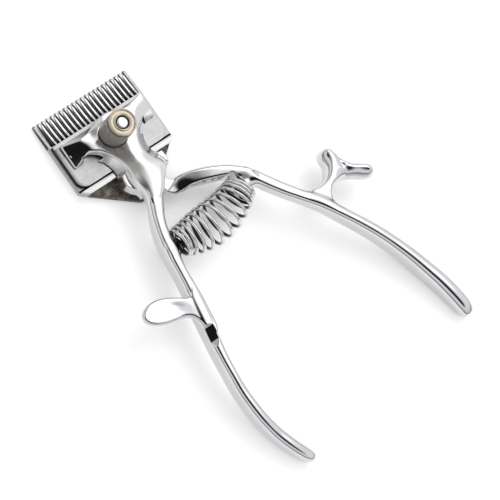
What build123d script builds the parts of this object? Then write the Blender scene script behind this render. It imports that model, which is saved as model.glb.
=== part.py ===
from build123d import *
import math
import os

os.makedirs("parts", exist_ok=True)

# ---------------------------------------------------------------------------
# Hand-operated hair clipper with squeeze handles. Millimetres, +Z up.
# Origin: axis of the pivot bolt, in the plane of the sole (the flat underside
# of the comb blade). Teeth point to -Y, handles run to +Y. The fixed handle is
# on the +X side and the moving handle on the -X side.
# ---------------------------------------------------------------------------

# comb (lower) blade
comb_width = 40.0
tip_y = -17.0             # tooth tips
gap_root_y = -7.6         # bottom of the saw cuts
pitch = 1.84              # tooth pitch
gap_width = 0.88          # width of one saw cut
comb_gaps = 21
comb_thickness = 2.4
rail_top = 4.2            # raised rear rail behind the cutter
rail_y = (10.9, 12.9)
tail_end_y = 24.6

# cutter (upper) blade
cutter_width = 38.0
cutter_shift = 0.35       # the body sits a little toward the fixed handle
cutter_z = (2.42, 4.40)
cutter_rear_y = 10.3
cutter_tip_y = -15.7
cutter_tooth = 0.84

# pivot stack
bolt_r = 2.0
sleeve_r = 2.6
sleeve_z = (2.4, 6.7)
lever_z = (4.75, 6.5)
drive_radius = 5.5        # drive pin ahead of the pivot axis
drive_pin_r = 1.1
yoke_under = 6.7
boss_top = 8.4
boss_r = 6.8

# tension nut
nut_r = 4.85
nut_bottom = 8.45
nut_top = 21.2
cap_thickness = 0.9
nut_shoulder = 14.6       # inner shoulder that the tension spring pushes on

# blade screws (two) and dowels (two), in the legs of the yoke
screw_at = [(5.3, 15.6), (-9.7, 15.2)]
dowel_at = [(5.0, 19.4), (-8.6, 18.6)]

# handle centre lines: x, y, z, width, height of the rounded section
fixed_stations = [
    (-1.9, 17.5, 9.6, 10.4, 4.6),
    (-0.9, 21.0, 9.9, 8.6, 5.0),
    (0.6, 24.2, 10.1, 6.8, 5.2),
    (2.7, 28.0, 10.2, 5.7, 5.6),
    (5.3, 33.0, 9.4, 4.8, 7.2),
    (7.2, 38.8, 8.9, 4.7, 8.4),
    (8.3, 44.9, 8.85, 4.7, 8.7),
    (9.2, 51.3, 8.9, 4.3, 8.75),
    (10.1, 57.6, 9.1, 4.4, 8.7),
    (11.2, 64.0, 9.15, 4.8, 8.8),
    (12.3, 70.3, 9.1, 4.8, 8.8),
    (13.4, 76.6, 8.9, 4.5, 8.9),
    (14.3, 83.0, 8.4, 4.1, 8.8),
    (14.8, 89.3, 7.8, 4.0, 8.8),
    (15.0, 95.7, 6.95, 4.2, 8.7),
    (14.6, 102.0, 6.15, 4.4, 8.7),
    (13.7, 108.3, 5.3, 4.6, 8.4),
    (12.0, 114.6, 4.4, 4.8, 7.6),
    (9.6, 120.9, 3.9, 4.9, 6.8),
    (6.8, 126.5, 3.25, 4.7, 5.7),
    (4.9, 129.4, 2.6, 3.9, 4.4),
]
moving_stations = [
    (-6.2, 24.6, 5.65, 5.0, 1.7),
    (-8.2, 26.4, 5.8, 5.4, 2.1),
    (-14.3, 27.3, 6.9, 5.8, 4.2),
    (-20.6, 29.6, 7.9, 5.8, 5.2),
    (-26.8, 33.0, 8.7, 5.6, 5.6),
    (-31.5, 37.2, 9.4, 5.3, 5.8),
    (-35.3, 42.6, 9.9, 4.9, 6.2),
    (-39.4, 48.6, 10.1, 4.7, 6.4),
    (-43.9, 54.4, 10.2, 4.5, 6.6),
    (-48.4, 60.1, 9.9, 4.5, 7.2),
    (-52.3, 66.0, 9.2, 4.5, 8.2),
    (-56.4, 72.3, 8.35, 4.6, 8.7),
    (-60.2, 78.6, 7.6, 4.8, 8.8),
    (-63.7, 85.1, 6.6, 5.0, 8.8),
    (-66.8, 91.9, 5.75, 5.3, 8.7),
    (-69.5, 98.8, 4.95, 5.6, 8.5),
    (-71.9, 105.9, 4.55, 6.0, 8.1),
    (-73.8, 113.0, 4.05, 6.2, 7.3),
    (-75.0, 119.0, 3.4, 5.9, 6.0),
    (-75.3, 122.4, 2.4, 5.0, 4.0),
]

# rests for thumb and little finger
thumb_outline = [
    (10.6, 58.6), (13.2, 59.6), (16.0, 58.2), (19.9, 56.2), (23.2, 54.9),
    (26.5, 54.6), (29.2, 55.5), (30.6, 57.4), (30.0, 59.4), (28.0, 61.2),
    (24.4, 63.0), (19.4, 63.8), (15.4, 64.4), (13.4, 66.2), (12.4, 69.5), (11.6, 70.0),
]
thumb_z = (9.8, 12.6)
crotch_outline = [
    (-45.0, 54.0), (-47.4, 53.6), (-50.5, 54.5), (-53.6, 54.1), (-56.0, 52.4),
    (-57.6, 49.6), (-58.0, 47.0), (-59.0, 45.0), (-60.9, 44.2), (-62.8, 45.0),
    (-63.9, 47.2), (-64.5, 50.0), (-65.5, 52.4), (-67.2, 54.4), (-69.9, 56.3),
    (-72.4, 57.8), (-73.6, 60.0), (-73.2, 62.4), (-71.2, 63.3), (-68.8, 62.0),
    (-65.6, 59.7), (-62.0, 57.6), (-58.6, 56.5), (-56.0, 56.8), (-54.1, 58.2),
    (-53.0, 60.4), (-52.4, 62.4), (-50.6, 62.6),
]
crotch_z = (6.4, 12.4)

# handle spring
coil_a = (4.3, 43.4, 9.4)     # centre of the end on the fixed handle
coil_b = (-28.0, 39.0, 9.4)   # centre of the end on the moving handle
coil_wire = 1.2
coils = 13
coil_r_end = 5.4
coil_r_mid = 7.2


va = Vector(*coil_a)
vb = Vector(*coil_b)
coil_len = (vb - va).length
coil_dir = (vb - va).normalized()


def cross(stations, i):
    """Plane across the centre line at station i."""
    a = stations[max(i - 1, 0)]
    b = stations[min(i + 1, len(stations) - 1)]
    d = Vector(b[0] - a[0], b[1] - a[1], b[2] - a[2]).normalized()
    side = Vector(d.Y, -d.X, 0).normalized()
    p = stations[i]
    return Plane(origin=(p[0], p[1], p[2]), x_dir=side, z_dir=d)


# ---------------------------------------------------------------------------
# comb_blade: forged plate with saw-cut teeth, a rear rail and a tapered tail
# ---------------------------------------------------------------------------
half = comb_width / 2
with BuildPart() as comb_blade:
    with BuildSketch(Plane.XY):
        with BuildLine():
            Polyline(
                (-half, tip_y), (half, tip_y), (half, 10.8), (17.6, 12.9),
                (2.6, tail_end_y), (-2.6, tail_end_y), (-17.6, 12.9), (-half, 10.8), (-half, tip_y),
            )
        make_face()
    extrude(amount=comb_thickness)
    # rear rail
    with BuildSketch(Plane.XY.offset(comb_thickness)):
        with BuildLine():
            Polyline(
                (-half, 9.8), (-half, 10.8), (-17.6, rail_y[1]), (17.6, rail_y[1]), (half, 10.8),
                (half, 9.8), (19.8, 9.8), (17.2, rail_y[0]), (-17.2, rail_y[0]), (-19.8, 9.8), (-half, 9.8),
            )
        make_face()
    extrude(amount=rail_top - comb_thickness)
    # teeth get thinner toward their tips, from above
    with BuildSketch(Plane.YZ.offset(-half)):
        with BuildLine():
            Polyline((tip_y - 1, 1.0), (tip_y, 1.0), (-12.0, 1.75), (gap_root_y, comb_thickness),
                     (gap_root_y, 5), (tip_y - 1, 5), (tip_y - 1, 1.0))
        make_face()
    extrude(amount=comb_width, mode=Mode.SUBTRACT)
    # saw cuts
    with BuildSketch(Plane.XY):
        with Locations((0, (tip_y - 1 + gap_root_y) / 2)):
            with GridLocations(pitch, 1, comb_gaps, 1):
                Rectangle(gap_width, gap_root_y - tip_y + 1)
    extrude(amount=comb_thickness + 1, mode=Mode.SUBTRACT)
    # pivot bolt: countersink from the sole
    with Locations(Plane(origin=(0, 0, 0), z_dir=(0, 0, -1))):
        CounterSinkHole(radius=bolt_r + 0.05, counter_sink_radius=4.05, counter_sink_angle=90, depth=comb_thickness + 0.1)
    # blade screws and dowels
    for x, y in screw_at:
        with Locations(Plane(origin=(x, y, 0), z_dir=(0, 0, -1))):
            CounterSinkHole(radius=0.85, counter_sink_radius=1.7, counter_sink_angle=90, depth=comb_thickness + 0.1)
    for x, y in dowel_at:
        with BuildSketch(Plane.XY.offset(0.8)):
            with Locations((x, y)):
                Circle(0.6)
        extrude(amount=comb_thickness, mode=Mode.SUBTRACT)
comb_blade.part.label = "comb_blade"

# ---------------------------------------------------------------------------
# cutter_blade: slides across the comb; teeth at the front, drive slot, pivot slot
# ---------------------------------------------------------------------------
cx = cutter_shift
with BuildPart() as cutter_blade:
    with BuildSketch(Plane.XY.offset(cutter_z[0])):
        with Locations((cx, (cutter_rear_y - 7.4) / 2)):
            RectangleRounded(cutter_width, cutter_rear_y + 7.4, 3.4)
        with Locations((cx, -4.0)):
            Rectangle(cutter_width, 6.8)
    extrude(amount=cutter_z[1] - cutter_z[0])
    # teeth
    with BuildSketch(Plane.XY.offset(cutter_z[0])):
        with Locations((0, (cutter_tip_y - 7.2) / 2)):
            with GridLocations(pitch, 1, comb_gaps - 1, 1):
                Rectangle(cutter_tooth, -7.2 - cutter_tip_y)
    extrude(amount=cutter_z[1] - cutter_z[0])
    # hollow-ground front slope down to the tooth tips
    with BuildSketch(Plane.YZ.offset(-25)):
        with BuildLine():
            Polyline((cutter_tip_y - 1, 2.75), (cutter_tip_y, 2.75), (-12.5, 3.1), (-9.2, 3.75),
                     (-7.4, cutter_z[1]), (-7.4, 6), (cutter_tip_y - 1, 6), (cutter_tip_y - 1, 2.75))
        make_face()
    extrude(amount=50, mode=Mode.SUBTRACT)
    # slot that clears the pivot sleeve over the stroke
    with BuildSketch(Plane.XY):
        with Locations((0.95, 0)):
            SlotOverall(5.6 + 2.3, 5.6)
    extrude(amount=6, mode=Mode.SUBTRACT)
    # slot for the drive pin, long across the stroke direction
    with BuildSketch(Plane.XY):
        with Locations((0, -drive_radius + 0.18)):
            Rectangle(2 * drive_pin_r + 0.16, 2 * drive_pin_r + 0.60)
    extrude(amount=6, mode=Mode.SUBTRACT)
cutter_blade.part.label = "cutter_blade"

# ---------------------------------------------------------------------------
# fixed_handle: bridge (yoke) over the blades, rear legs, neck, grip, thumb rest
# ---------------------------------------------------------------------------
with BuildPart() as fixed_handle:
    # bridge: section across, one foot each side standing over the cutter
    with BuildSketch(Plane.XZ.offset(-6)):
        with BuildLine():
            Polyline(
                (-17.2, 4.9), (-17.2, 6.4), (-10.6, 7.8), (-6.5, 8.2), (6.5, 8.2), (10.6, 7.8), (17.2, 5.8),
                (17.2, 4.9), (13.4, 4.9), (12.8, yoke_under), (-12.8, yoke_under), (-13.4, 4.9), (-17.2, 4.9),
            )
        make_face()
    extrude(amount=14)
    # plan outline of the bridge
    with BuildSketch(Plane.XY):
        with BuildLine():
            Polyline(
                (17.2, -5.7), (11.0, -3.9), (7.4, -4.7), (5.0, -6.2), (2.0, -7.2), (-1.6, -7.4), (-5.2, -6.6),
                (-9.4, -5.2), (-13.2, -5.4), (-17.2, -6.4), (-17.2, 2.6), (-14.8, 2.9), (-12.2, 3.9), (-10.2, 5.4),
                (-9.6, 6.0), (9.0, 6.0), (9.5, 4.9), (11.9, 3.5), (13.8, 3.2), (17.2, 3.4), (17.2, -5.7),
            )
        make_face()
    extrude(amount=12, mode=Mode.INTERSECT)
    # round boss under the nut
    with BuildSketch(Plane.XY.offset(yoke_under)):
        Circle(boss_r)
    extrude(amount=boss_top - yoke_under)
    # saddle behind the boss, rising to the neck, with sloping flanks
    saddle = [
        # y, left x low/high, right x low/high, low z, high z
        (2.5, 8.4, 6.4, -9.2, -7.6, 6.7, 8.2),
        (6.0, 7.9, 5.0, -10.2, -6.4, 4.75, 8.9),
        (9.6, 7.2, 3.9, -9.9, -5.2, 4.75, 9.9),
    ]
    for y, xl, xh, rl, rh, zl, zh in saddle:
        with BuildSketch(Plane(origin=(0, y, 0), x_dir=(1, 0, 0), z_dir=(0, 1, 0))):
            with BuildLine():
                Polyline((xl, -zl), (xh, -zh), (rh, -zh), (rl, -zl), (xl, -zl))
            make_face()
    loft(ruled=True)
    rear = [
        (9.6, 7.2, 3.9, -9.9, -5.2, 4.75, 9.9),
        (13.4, 7.3, 3.8, -11.2, -5.8, 4.75, 11.2),
        (18.2, 7.4, 4.0, -11.2, -8.2, 4.75, 12.1),
        (20.8, 5.6, 3.8, -9.4, -6.6, 6.9, 12.4),
        (24.2, 4.0, 3.6, -4.0, -3.4, 7.2, 12.5),
    ]
    for y, xl, xh, rl, rh, zl, zh in rear:
        with BuildSketch(Plane(origin=(0, y, 0), x_dir=(1, 0, 0), z_dir=(0, 1, 0))):
            with BuildLine():
                Polyline((xl, -zl), (xh, -zh), (rh, -zh), (rl, -zl), (xl, -zl))
            make_face()
    loft(ruled=True)
    # legs that stand on the tail of the comb blade
    with BuildSketch(Plane.XY.offset(comb_thickness)):
        with BuildLine():
            Polyline((3.9, 13.5), (7.3, 13.5), (7.5, 18.0), (5.8, 20.6), (3.9, 20.6), (3.9, 13.5))
        make_face()
        with BuildLine():
            Polyline((-11.6, 13.4), (-8.0, 13.4), (-8.0, 19.4), (-10.6, 19.4), (-11.6, 17.4), (-11.6, 13.4))
        make_face()
    extrude(amount=8.0 - comb_thickness)
    # grip
    for i, s in enumerate(fixed_stations[1:], start=1):
        with BuildSketch(cross(fixed_stations, i)):
            RectangleRounded(s[3], s[4], min(s[3], s[4]) * 0.42)
    loft()
    # thumb rest
    with BuildSketch(Plane.XY.offset(thumb_z[0])):
        with BuildLine():
            Polyline(*thumb_outline, thumb_outline[0])
        make_face()
    extrude(amount=thumb_z[1] - thumb_z[0])
    # room for the lever under the bridge, saddle and neck
    with BuildSketch(Plane.XY.offset(4.0)):
        Circle(8.4)
        with BuildLine():
            Polyline((-8.0, 0), (8.0, 0), (3.9, 12.0), (3.9, 30.0), (-20.0, 30.0), (-20.0, 19.5), (-8.0, 19.5), (-8.0, 0))
        make_face()
    extrude(amount=yoke_under - 4.0, mode=Mode.SUBTRACT)
    # underside hollow of the saddle
    for y, xa, xb, zt in [(8.5, -5.2, 2.4, 7.2), (12.5, -6.0, 2.6, 8.4), (18.0, -7.0, 2.8, 9.2), (21.5, -3.4, 1.6, 8.6)]:
        with BuildSketch(Plane(origin=(0, y, 0), x_dir=(1, 0, 0), z_dir=(0, 1, 0)), mode=Mode.PRIVATE) as hollow:
            with BuildLine():
                Polyline((xa, -6.0), (xa, -zt), (xb, -zt), (xb, -6.0), (xa, -6.0))
            make_face()
        add(hollow.sketch)
    loft(ruled=True, mode=Mode.SUBTRACT)
    # spot face for the nut, and the bolt hole
    with BuildSketch(Plane.XY.offset(boss_top)):
        Circle(nut_r + 0.35)
    extrude(amount=8, mode=Mode.SUBTRACT)
    with BuildSketch(Plane.XY):
        Circle(bolt_r + 0.08)
    extrude(amount=12, mode=Mode.SUBTRACT)
    # flat seat for the end of the handle spring
    with BuildSketch(Plane(origin=Vector(*coil_a) - coil_dir * 0.05, z_dir=coil_dir)):
        Circle(coil_r_mid + 1.2)
    extrude(amount=12, mode=Mode.SUBTRACT)
    # screw holes, dowel holes, pad holes
    with BuildSketch(Plane.XY):
        with Locations(*screw_at):
            Circle(0.85)
    extrude(amount=7.6, mode=Mode.SUBTRACT)
    with BuildSketch(Plane.XY):
        with Locations(*dowel_at):
            Circle(0.6)
    extrude(amount=4.6, mode=Mode.SUBTRACT)
    with BuildSketch(Plane.XY):
        with Locations((15.3, -1.2), (-15.3, -1.8)):
            Circle(1.2)
    extrude(amount=6.0, mode=Mode.SUBTRACT)
fixed_handle.part.label = "fixed_handle"

# ---------------------------------------------------------------------------
# moving_handle: lever eye, drive finger, arm, grip, two-pronged finger rest
# ---------------------------------------------------------------------------
with BuildPart() as moving_handle:
    with BuildSketch(Plane.XY.offset(lever_z[0])):
        Circle(5.6)
        with BuildLine():
            Polyline((-2.2, -7.0), (2.2, -7.0), (4.6, -2.0), (-4.6, -2.0), (-2.2, -7.0))
        make_face()
        with BuildLine():
            Polyline((4.4, 2.0), (1.2, 8.0), (-1.6, 15.0), (-3.2, 20.0), (-3.6, 25.6), (-7.8, 29.0), (-9.4, 26.0),
                     (-7.4, 22.0), (-6.6, 18.0), (-5.6, 12.0), (-5.2, 4.0), (-4.4, 2.0), (4.4, 2.0))
        make_face()
    extrude(amount=lever_z[1] - lever_z[0])
    for i, s in enumerate(moving_stations):
        with BuildSketch(cross(moving_stations, i)):
            RectangleRounded(s[3], s[4], min(s[3], s[4]) * 0.42)
    loft()
    with BuildSketch(Plane.XY.offset(crotch_z[0])):
        with BuildLine():
            Polyline(*crotch_outline, crotch_outline[0])
        make_face()
    extrude(amount=crotch_z[1] - crotch_z[0])
    # flat seat for the end of the handle spring
    with BuildSketch(Plane(origin=Vector(*coil_b) + coil_dir * 0.05, z_dir=coil_dir * -1)):
        Circle(coil_r_mid + 1.2)
    extrude(amount=12, mode=Mode.SUBTRACT)
    # eye for the sleeve, hole for the drive pin
    with BuildSketch(Plane.XY):
        Circle(sleeve_r + 0.05)
        with Locations((0, -drive_radius)):
            Circle(drive_pin_r)
    extrude(amount=12, mode=Mode.SUBTRACT)
moving_handle.part.label = "moving_handle"

# ---------------------------------------------------------------------------
# pivot stack
# ---------------------------------------------------------------------------
with BuildPart() as pivot_bolt:
    with BuildSketch(Plane.XZ):
        with BuildLine():
            Polyline((0, 0), (4.0, 0), (bolt_r, 2.0), (bolt_r, 20.1), (1.6, 20.6), (0.9, 20.9), (0, 21.0), (0, 0))
        make_face()
    revolve(axis=Axis.Z)
    # screwdriver slot in the head
    with BuildSketch(Plane.XY):
        with Locations((-2.6, 0), (2.6, 0)):
            Rectangle(1.4, 0.9)
    extrude(amount=0.5, mode=Mode.SUBTRACT)
pivot_bolt.part.label = "pivot_bolt"

with BuildPart() as pivot_sleeve:
    with BuildSketch(Plane.XY.offset(sleeve_z[0])):
        Circle(sleeve_r)
        Circle(bolt_r + 0.05, mode=Mode.SUBTRACT)
    extrude(amount=sleeve_z[1] - sleeve_z[0])
pivot_sleeve.part.label = "pivot_sleeve"

# thin washer between lever eye and cutter, on the sleeve
with BuildPart() as lever_washer:
    with BuildSketch(Plane.XY.offset(cutter_z[1] + 0.03)):
        Circle(5.0)
        Circle(sleeve_r + 0.05, mode=Mode.SUBTRACT)
    extrude(amount=lever_z[0] - cutter_z[1] - 0.08)
    # open at the front for the drive pin
    with BuildSketch(Plane.XY):
        with Locations((0, -5.0)):
            Rectangle(6.4, 4.2)
    extrude(amount=12, mode=Mode.SUBTRACT)
lever_washer.part.label = "lever_washer"

# brass washer between lever eye and bridge
with BuildPart() as yoke_washer:
    with BuildSketch(Plane.XY.offset(lever_z[1] + 0.02)):
        Circle(4.8)
        Circle(sleeve_r + 0.05, mode=Mode.SUBTRACT)
    extrude(amount=yoke_under - lever_z[1] - 0.04)
yoke_washer.part.label = "yoke_washer"

with BuildPart() as drive_pin:
    with BuildSketch(Plane.XY.offset(2.6)):
        with Locations((0, -drive_radius)):
            Circle(drive_pin_r)
    extrude(amount=lever_z[1] - 2.6)
drive_pin.part.label = "drive_pin"

# hardened buttons under the two wings, bearing on the cutter
with BuildPart() as pressure_pads:
    with BuildSketch(Plane.XY.offset(cutter_z[1] + 0.02)):
        with Locations((15.3, -1.2), (-15.3, -1.8)):
            Circle(1.2)
    extrude(amount=6.0 - cutter_z[1] - 0.02)
pressure_pads.part.label = "pressure_pads"

# two countersunk screws up through the tail of the comb blade
with BuildPart() as blade_screws:
    for x, y in screw_at:
        with BuildSketch(Plane(origin=(x, y, 0), x_dir=(1, 0, 0), z_dir=(0, -1, 0))):
            with BuildLine():
                Polyline((0, 0), (1.65, 0), (0.8, 0.85), (0.8, 7.2), (0, 7.2), (0, 0))
            make_face()
        revolve(axis=Axis((x, y, 0), (0, 0, 1)))
        with BuildSketch(Plane.XY):
            with Locations((x, y)):
                Rectangle(3.6, 0.45, rotation=25)
        extrude(amount=0.35, mode=Mode.SUBTRACT)
blade_screws.part.label = "blade_screws"

with BuildPart() as locating_dowels:
    with BuildSketch(Plane.XY.offset(0.85)):
        with Locations(*dowel_at):
            Circle(0.58)
    extrude(amount=3.65)
locating_dowels.part.label = "locating_dowels"

# ---------------------------------------------------------------------------
# tension nut with its inner spring
# ---------------------------------------------------------------------------
flutes = 48
with BuildPart() as tension_nut:
    with BuildSketch(Plane.XY.offset(nut_bottom)):
        Circle(nut_r)
        with PolarLocations(nut_r + 0.12, flutes):
            Rectangle(0.5, 0.32, rotation=45)
        Circle(nut_r + 0.12, mode=Mode.INTERSECT)
    extrude(amount=nut_top - cap_thickness - 0.35 - nut_bottom)
    # neck under the cap
    with BuildSketch(Plane.XY.offset(nut_top - cap_thickness - 0.35)):
        Circle(nut_r - 0.35)
    extrude(amount=0.35)
    with BuildSketch(Plane.XY):
        Circle(bolt_r + 0.06)
    extrude(amount=30, mode=Mode.SUBTRACT)
    with BuildSketch(Plane.XY):
        Circle(3.75)
    extrude(amount=nut_shoulder, mode=Mode.SUBTRACT)
tension_nut.part.label = "tension_nut"

with BuildPart() as nut_cap:
    with BuildSketch(Plane.XY.offset(nut_top - cap_thickness)):
        Circle(nut_r)
        Circle(2.15, mode=Mode.SUBTRACT)
    extrude(amount=cap_thickness)
    chamfer(nut_cap.edges().filter_by(GeomType.CIRCLE).group_by(Axis.Z)[-1], 0.18)
nut_cap.part.label = "nut_cap"

with BuildPart() as spring_seat:
    with BuildSketch(Plane.XY.offset(boss_top)):
        Circle(3.6)
        Circle(bolt_r + 0.06, mode=Mode.SUBTRACT)
    extrude(amount=0.5)
spring_seat.part.label = "spring_seat"

with BuildPart() as thrust_washer:
    with BuildSketch(Plane.XY.offset(nut_shoulder - 0.55)):
        Circle(3.6)
        Circle(bolt_r + 0.06, mode=Mode.SUBTRACT)
    extrude(amount=0.5)
thrust_washer.part.label = "thrust_washer"

tension_lo = boss_top + 0.5
tension_hi = nut_shoulder - 0.55
with BuildPart() as tension_spring:
    turns = 6
    step = (tension_hi - tension_lo) / turns
    with BuildSketch(Plane.XZ):
        with BuildLine():
            Polyline((2.55, tension_lo), (3.4, tension_lo), (3.4, tension_hi), (2.55, tension_hi), (2.55, tension_lo))
        make_face()
        with Locations(*[(3.4, tension_lo + step * (k + 1.0)) for k in range(turns - 1)]):
            Rectangle(0.9, step * 0.42, mode=Mode.SUBTRACT)
    revolve(axis=Axis.Z)
tension_spring.part.label = "tension_spring"

# ---------------------------------------------------------------------------
# handle spring (ribbed barrel) and the pegs that hold its ends
# ---------------------------------------------------------------------------
coil_plane = Plane(origin=coil_a, x_dir=(0, 0, 1), z_dir=Vector(-coil_dir.Y, coil_dir.X, 0).normalized())
sign = 1 if coil_plane.y_dir.dot(coil_dir) > 0 else -1
with BuildPart() as handle_spring:
    with BuildSketch(coil_plane):
        n = coils
        pts = []
        for k in range(n):
            t = (k + 0.5) / n
            r = coil_r_end + (coil_r_mid - coil_r_end) * math.sin(math.pi * t) ** 0.9
            pts.append((r, sign * (coil_wire / 2 + (coil_len - coil_wire) * k / (n - 1))))
        with BuildLine():
            Polyline(*[(r + 0.12, y) for r, y in pts], *[(r - 0.12, y) for r, y in reversed(pts)], (pts[0][0] + 0.12, pts[0][1]))
        make_face()
        with Locations(*pts):
            Circle(coil_wire / 2)
    revolve(axis=Axis(coil_a, coil_dir))
handle_spring.part.label = "handle_spring"

peg_r = 2.6
with BuildPart() as fixed_spring_peg:
    p0 = va - coil_dir * 2.6
    with BuildSketch(Plane(origin=p0, z_dir=coil_dir)):
        Circle(peg_r)
    extrude(amount=2.6 + 3.6)
fixed_spring_peg.part.label = "fixed_spring_peg"

with BuildPart() as moving_spring_peg:
    p1 = vb + coil_dir * 2.6
    with BuildSketch(Plane(origin=p1, z_dir=coil_dir * -1)):
        Circle(peg_r)
    extrude(amount=2.6 + 3.6)
moving_spring_peg.part.label = "moving_spring_peg"

# a peg is cut back to the outside of its handle
fixed_peg_cut = fixed_spring_peg.part - fixed_handle.part
moving_peg_cut = moving_spring_peg.part - moving_handle.part


def largest(shape):
    return max(shape.solids(), key=lambda s: s.volume)


with BuildPart() as fixed_spring_peg:
    add(largest(fixed_peg_cut))
fixed_spring_peg.part.label = "fixed_spring_peg"
with BuildPart() as moving_spring_peg:
    add(largest(moving_peg_cut))
moving_spring_peg.part.label = "moving_spring_peg"

for name in (
    comb_blade, cutter_blade, fixed_handle, moving_handle, pivot_bolt, pivot_sleeve, lever_washer, yoke_washer,
    drive_pin, pressure_pads, blade_screws, locating_dowels, tension_nut, nut_cap, spring_seat, thrust_washer,
    tension_spring, handle_spring, fixed_spring_peg, moving_spring_peg,
):
    export_step(name.part, f"parts/{name.part.label}.step")
    print(name.part.label, len(name.part.solids()), round(name.part.volume, 1), name.part.bounding_box())
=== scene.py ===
import bpy, bmesh, math
import numpy as np
from mathutils import Matrix, Vector, Quaternion


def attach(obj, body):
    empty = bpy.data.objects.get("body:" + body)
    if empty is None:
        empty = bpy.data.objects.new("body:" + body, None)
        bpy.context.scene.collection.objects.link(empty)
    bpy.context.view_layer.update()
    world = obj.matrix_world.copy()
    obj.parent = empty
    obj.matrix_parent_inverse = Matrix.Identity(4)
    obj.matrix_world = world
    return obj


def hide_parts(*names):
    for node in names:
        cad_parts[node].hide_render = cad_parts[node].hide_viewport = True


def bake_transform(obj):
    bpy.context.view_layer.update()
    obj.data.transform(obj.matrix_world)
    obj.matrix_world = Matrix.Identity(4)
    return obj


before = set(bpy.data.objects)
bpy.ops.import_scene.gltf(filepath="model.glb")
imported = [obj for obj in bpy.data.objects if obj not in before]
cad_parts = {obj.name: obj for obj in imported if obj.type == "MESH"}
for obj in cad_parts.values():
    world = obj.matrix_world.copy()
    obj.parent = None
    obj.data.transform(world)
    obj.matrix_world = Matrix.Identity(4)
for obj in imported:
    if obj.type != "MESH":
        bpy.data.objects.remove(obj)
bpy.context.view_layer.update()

MM = 0.001
rng = np.random.default_rng(7)

# ---------------------------------------------------------------------------
# camera
# ---------------------------------------------------------------------------
cam_data = bpy.data.cameras.new("camera")
cam_data.lens = 129.6
cam_data.sensor_width = 36.0
cam_data.clip_start = 0.01
cam_data.clip_end = 20.0
cam = bpy.data.objects.new("camera", cam_data)
rot = Matrix(((-0.752384, -0.523417, 0.399941), (0.569337, -0.82209, -0.00484), (0.331321, 0.22406, 0.916528)))
cam.matrix_world = Matrix.Translation((0.228701, 0.055897, 0.571473)) @ rot.to_4x4()
bpy.context.scene.collection.objects.link(cam)
bpy.context.scene.camera = cam

# ---------------------------------------------------------------------------
# node helpers
# ---------------------------------------------------------------------------


class Nodes:
    def __init__(self, tree):
        self.t = tree
        tree.nodes.clear()

    def new(self, kind, inputs=None, **props):
        n = self.t.nodes.new(kind)
        for k, v in props.items():
            setattr(n, k, v)
        for k, v in (inputs or {}).items():
            sock = n.inputs[k]
            if isinstance(v, bpy.types.NodeSocket):
                self.t.links.new(v, sock)
            else:
                sock.default_value = v
        return n

    def link(self, a, b):
        self.t.links.new(a, b)

    def math(self, op, a, b=None, c=None, clamp=False):
        n = self.t.nodes.new("ShaderNodeMath")
        n.operation = op
        n.use_clamp = clamp
        for i, v in enumerate((a, b, c)):
            if v is None:
                continue
            if isinstance(v, bpy.types.NodeSocket):
                self.t.links.new(v, n.inputs[i])
            else:
                n.inputs[i].default_value = v
        return n.outputs[0]

    def vmath(self, op, a, b=None, out=0):
        n = self.t.nodes.new("ShaderNodeVectorMath")
        n.operation = op
        for i, v in enumerate((a, b)):
            if v is None:
                continue
            if isinstance(v, bpy.types.NodeSocket):
                self.t.links.new(v, n.inputs[i])
            else:
                n.inputs[i].default_value = v
        return n.outputs[out]

    def scale(self, v, s):
        n = self.t.nodes.new("ShaderNodeVectorMath")
        n.operation = "SCALE"
        self.t.links.new(v, n.inputs[0])
        if isinstance(s, bpy.types.NodeSocket):
            self.t.links.new(s, n.inputs["Scale"])
        else:
            n.inputs["Scale"].default_value = s
        return n.outputs[0]

    def ramp(self, fac, stops, interp="LINEAR"):
        n = self.t.nodes.new("ShaderNodeValToRGB")
        n.color_ramp.interpolation = interp
        el = n.color_ramp.elements
        while len(el) > 1:
            el.remove(el[-1])
        el[0].position, el[0].color = stops[0][0], (*stops[0][1], 1) if not isinstance(stops[0][1], float) else (stops[0][1],) * 3 + (1,)
        for p, c in stops[1:]:
            e = el.new(p)
            e.color = (*c, 1) if not isinstance(c, float) else (c, c, c, 1)
        self.t.links.new(fac, n.inputs[0])
        return n.outputs[0]

    def mix(self, fac, a, b):
        n = self.t.nodes.new("ShaderNodeMix")
        n.data_type = "RGBA"
        for name, v in (("Factor", fac), ("A", a), ("B", b)):
            sock = [s for s in n.inputs if s.name == name and s.type == ("VALUE" if name == "Factor" else "RGBA")][0]
            if isinstance(v, bpy.types.NodeSocket):
                self.t.links.new(v, sock)
            else:
                sock.default_value = v if name == "Factor" else ((*v, 1) if len(v) == 3 else v)
        return [s for s in n.outputs if s.type == "RGBA"][0]

    def noise(self, vec, scale, detail=3.0, rough=0.5, dist=0.0, out=0):
        n = self.new("ShaderNodeTexNoise", {"Vector": vec, "Scale": scale, "Detail": detail, "Roughness": rough, "Distortion": dist})
        return n.outputs[out]

    def stretch(self, vec, s):
        n = self.new("ShaderNodeMapping", {"Vector": vec, "Scale": s})
        return n.outputs[0]


def material(name):
    m = bpy.data.materials.new(name)
    m.use_nodes = True
    return m, Nodes(m.node_tree)


def finish_material(n, bsdf):
    out = n.new("ShaderNodeOutputMaterial", {"Surface": bsdf.outputs[0]})
    return out


def bump(n, height, strength, distance, normal=None):
    b = n.new("ShaderNodeBump", {"Height": height, "Strength": strength, "Distance": distance})
    if normal is not None:
        n.link(normal, b.inputs["Normal"])
    return b.outputs[0]


# ---------------------------------------------------------------------------
# materials. Object coordinates are in metres, in the row frame.
# ---------------------------------------------------------------------------


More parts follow.
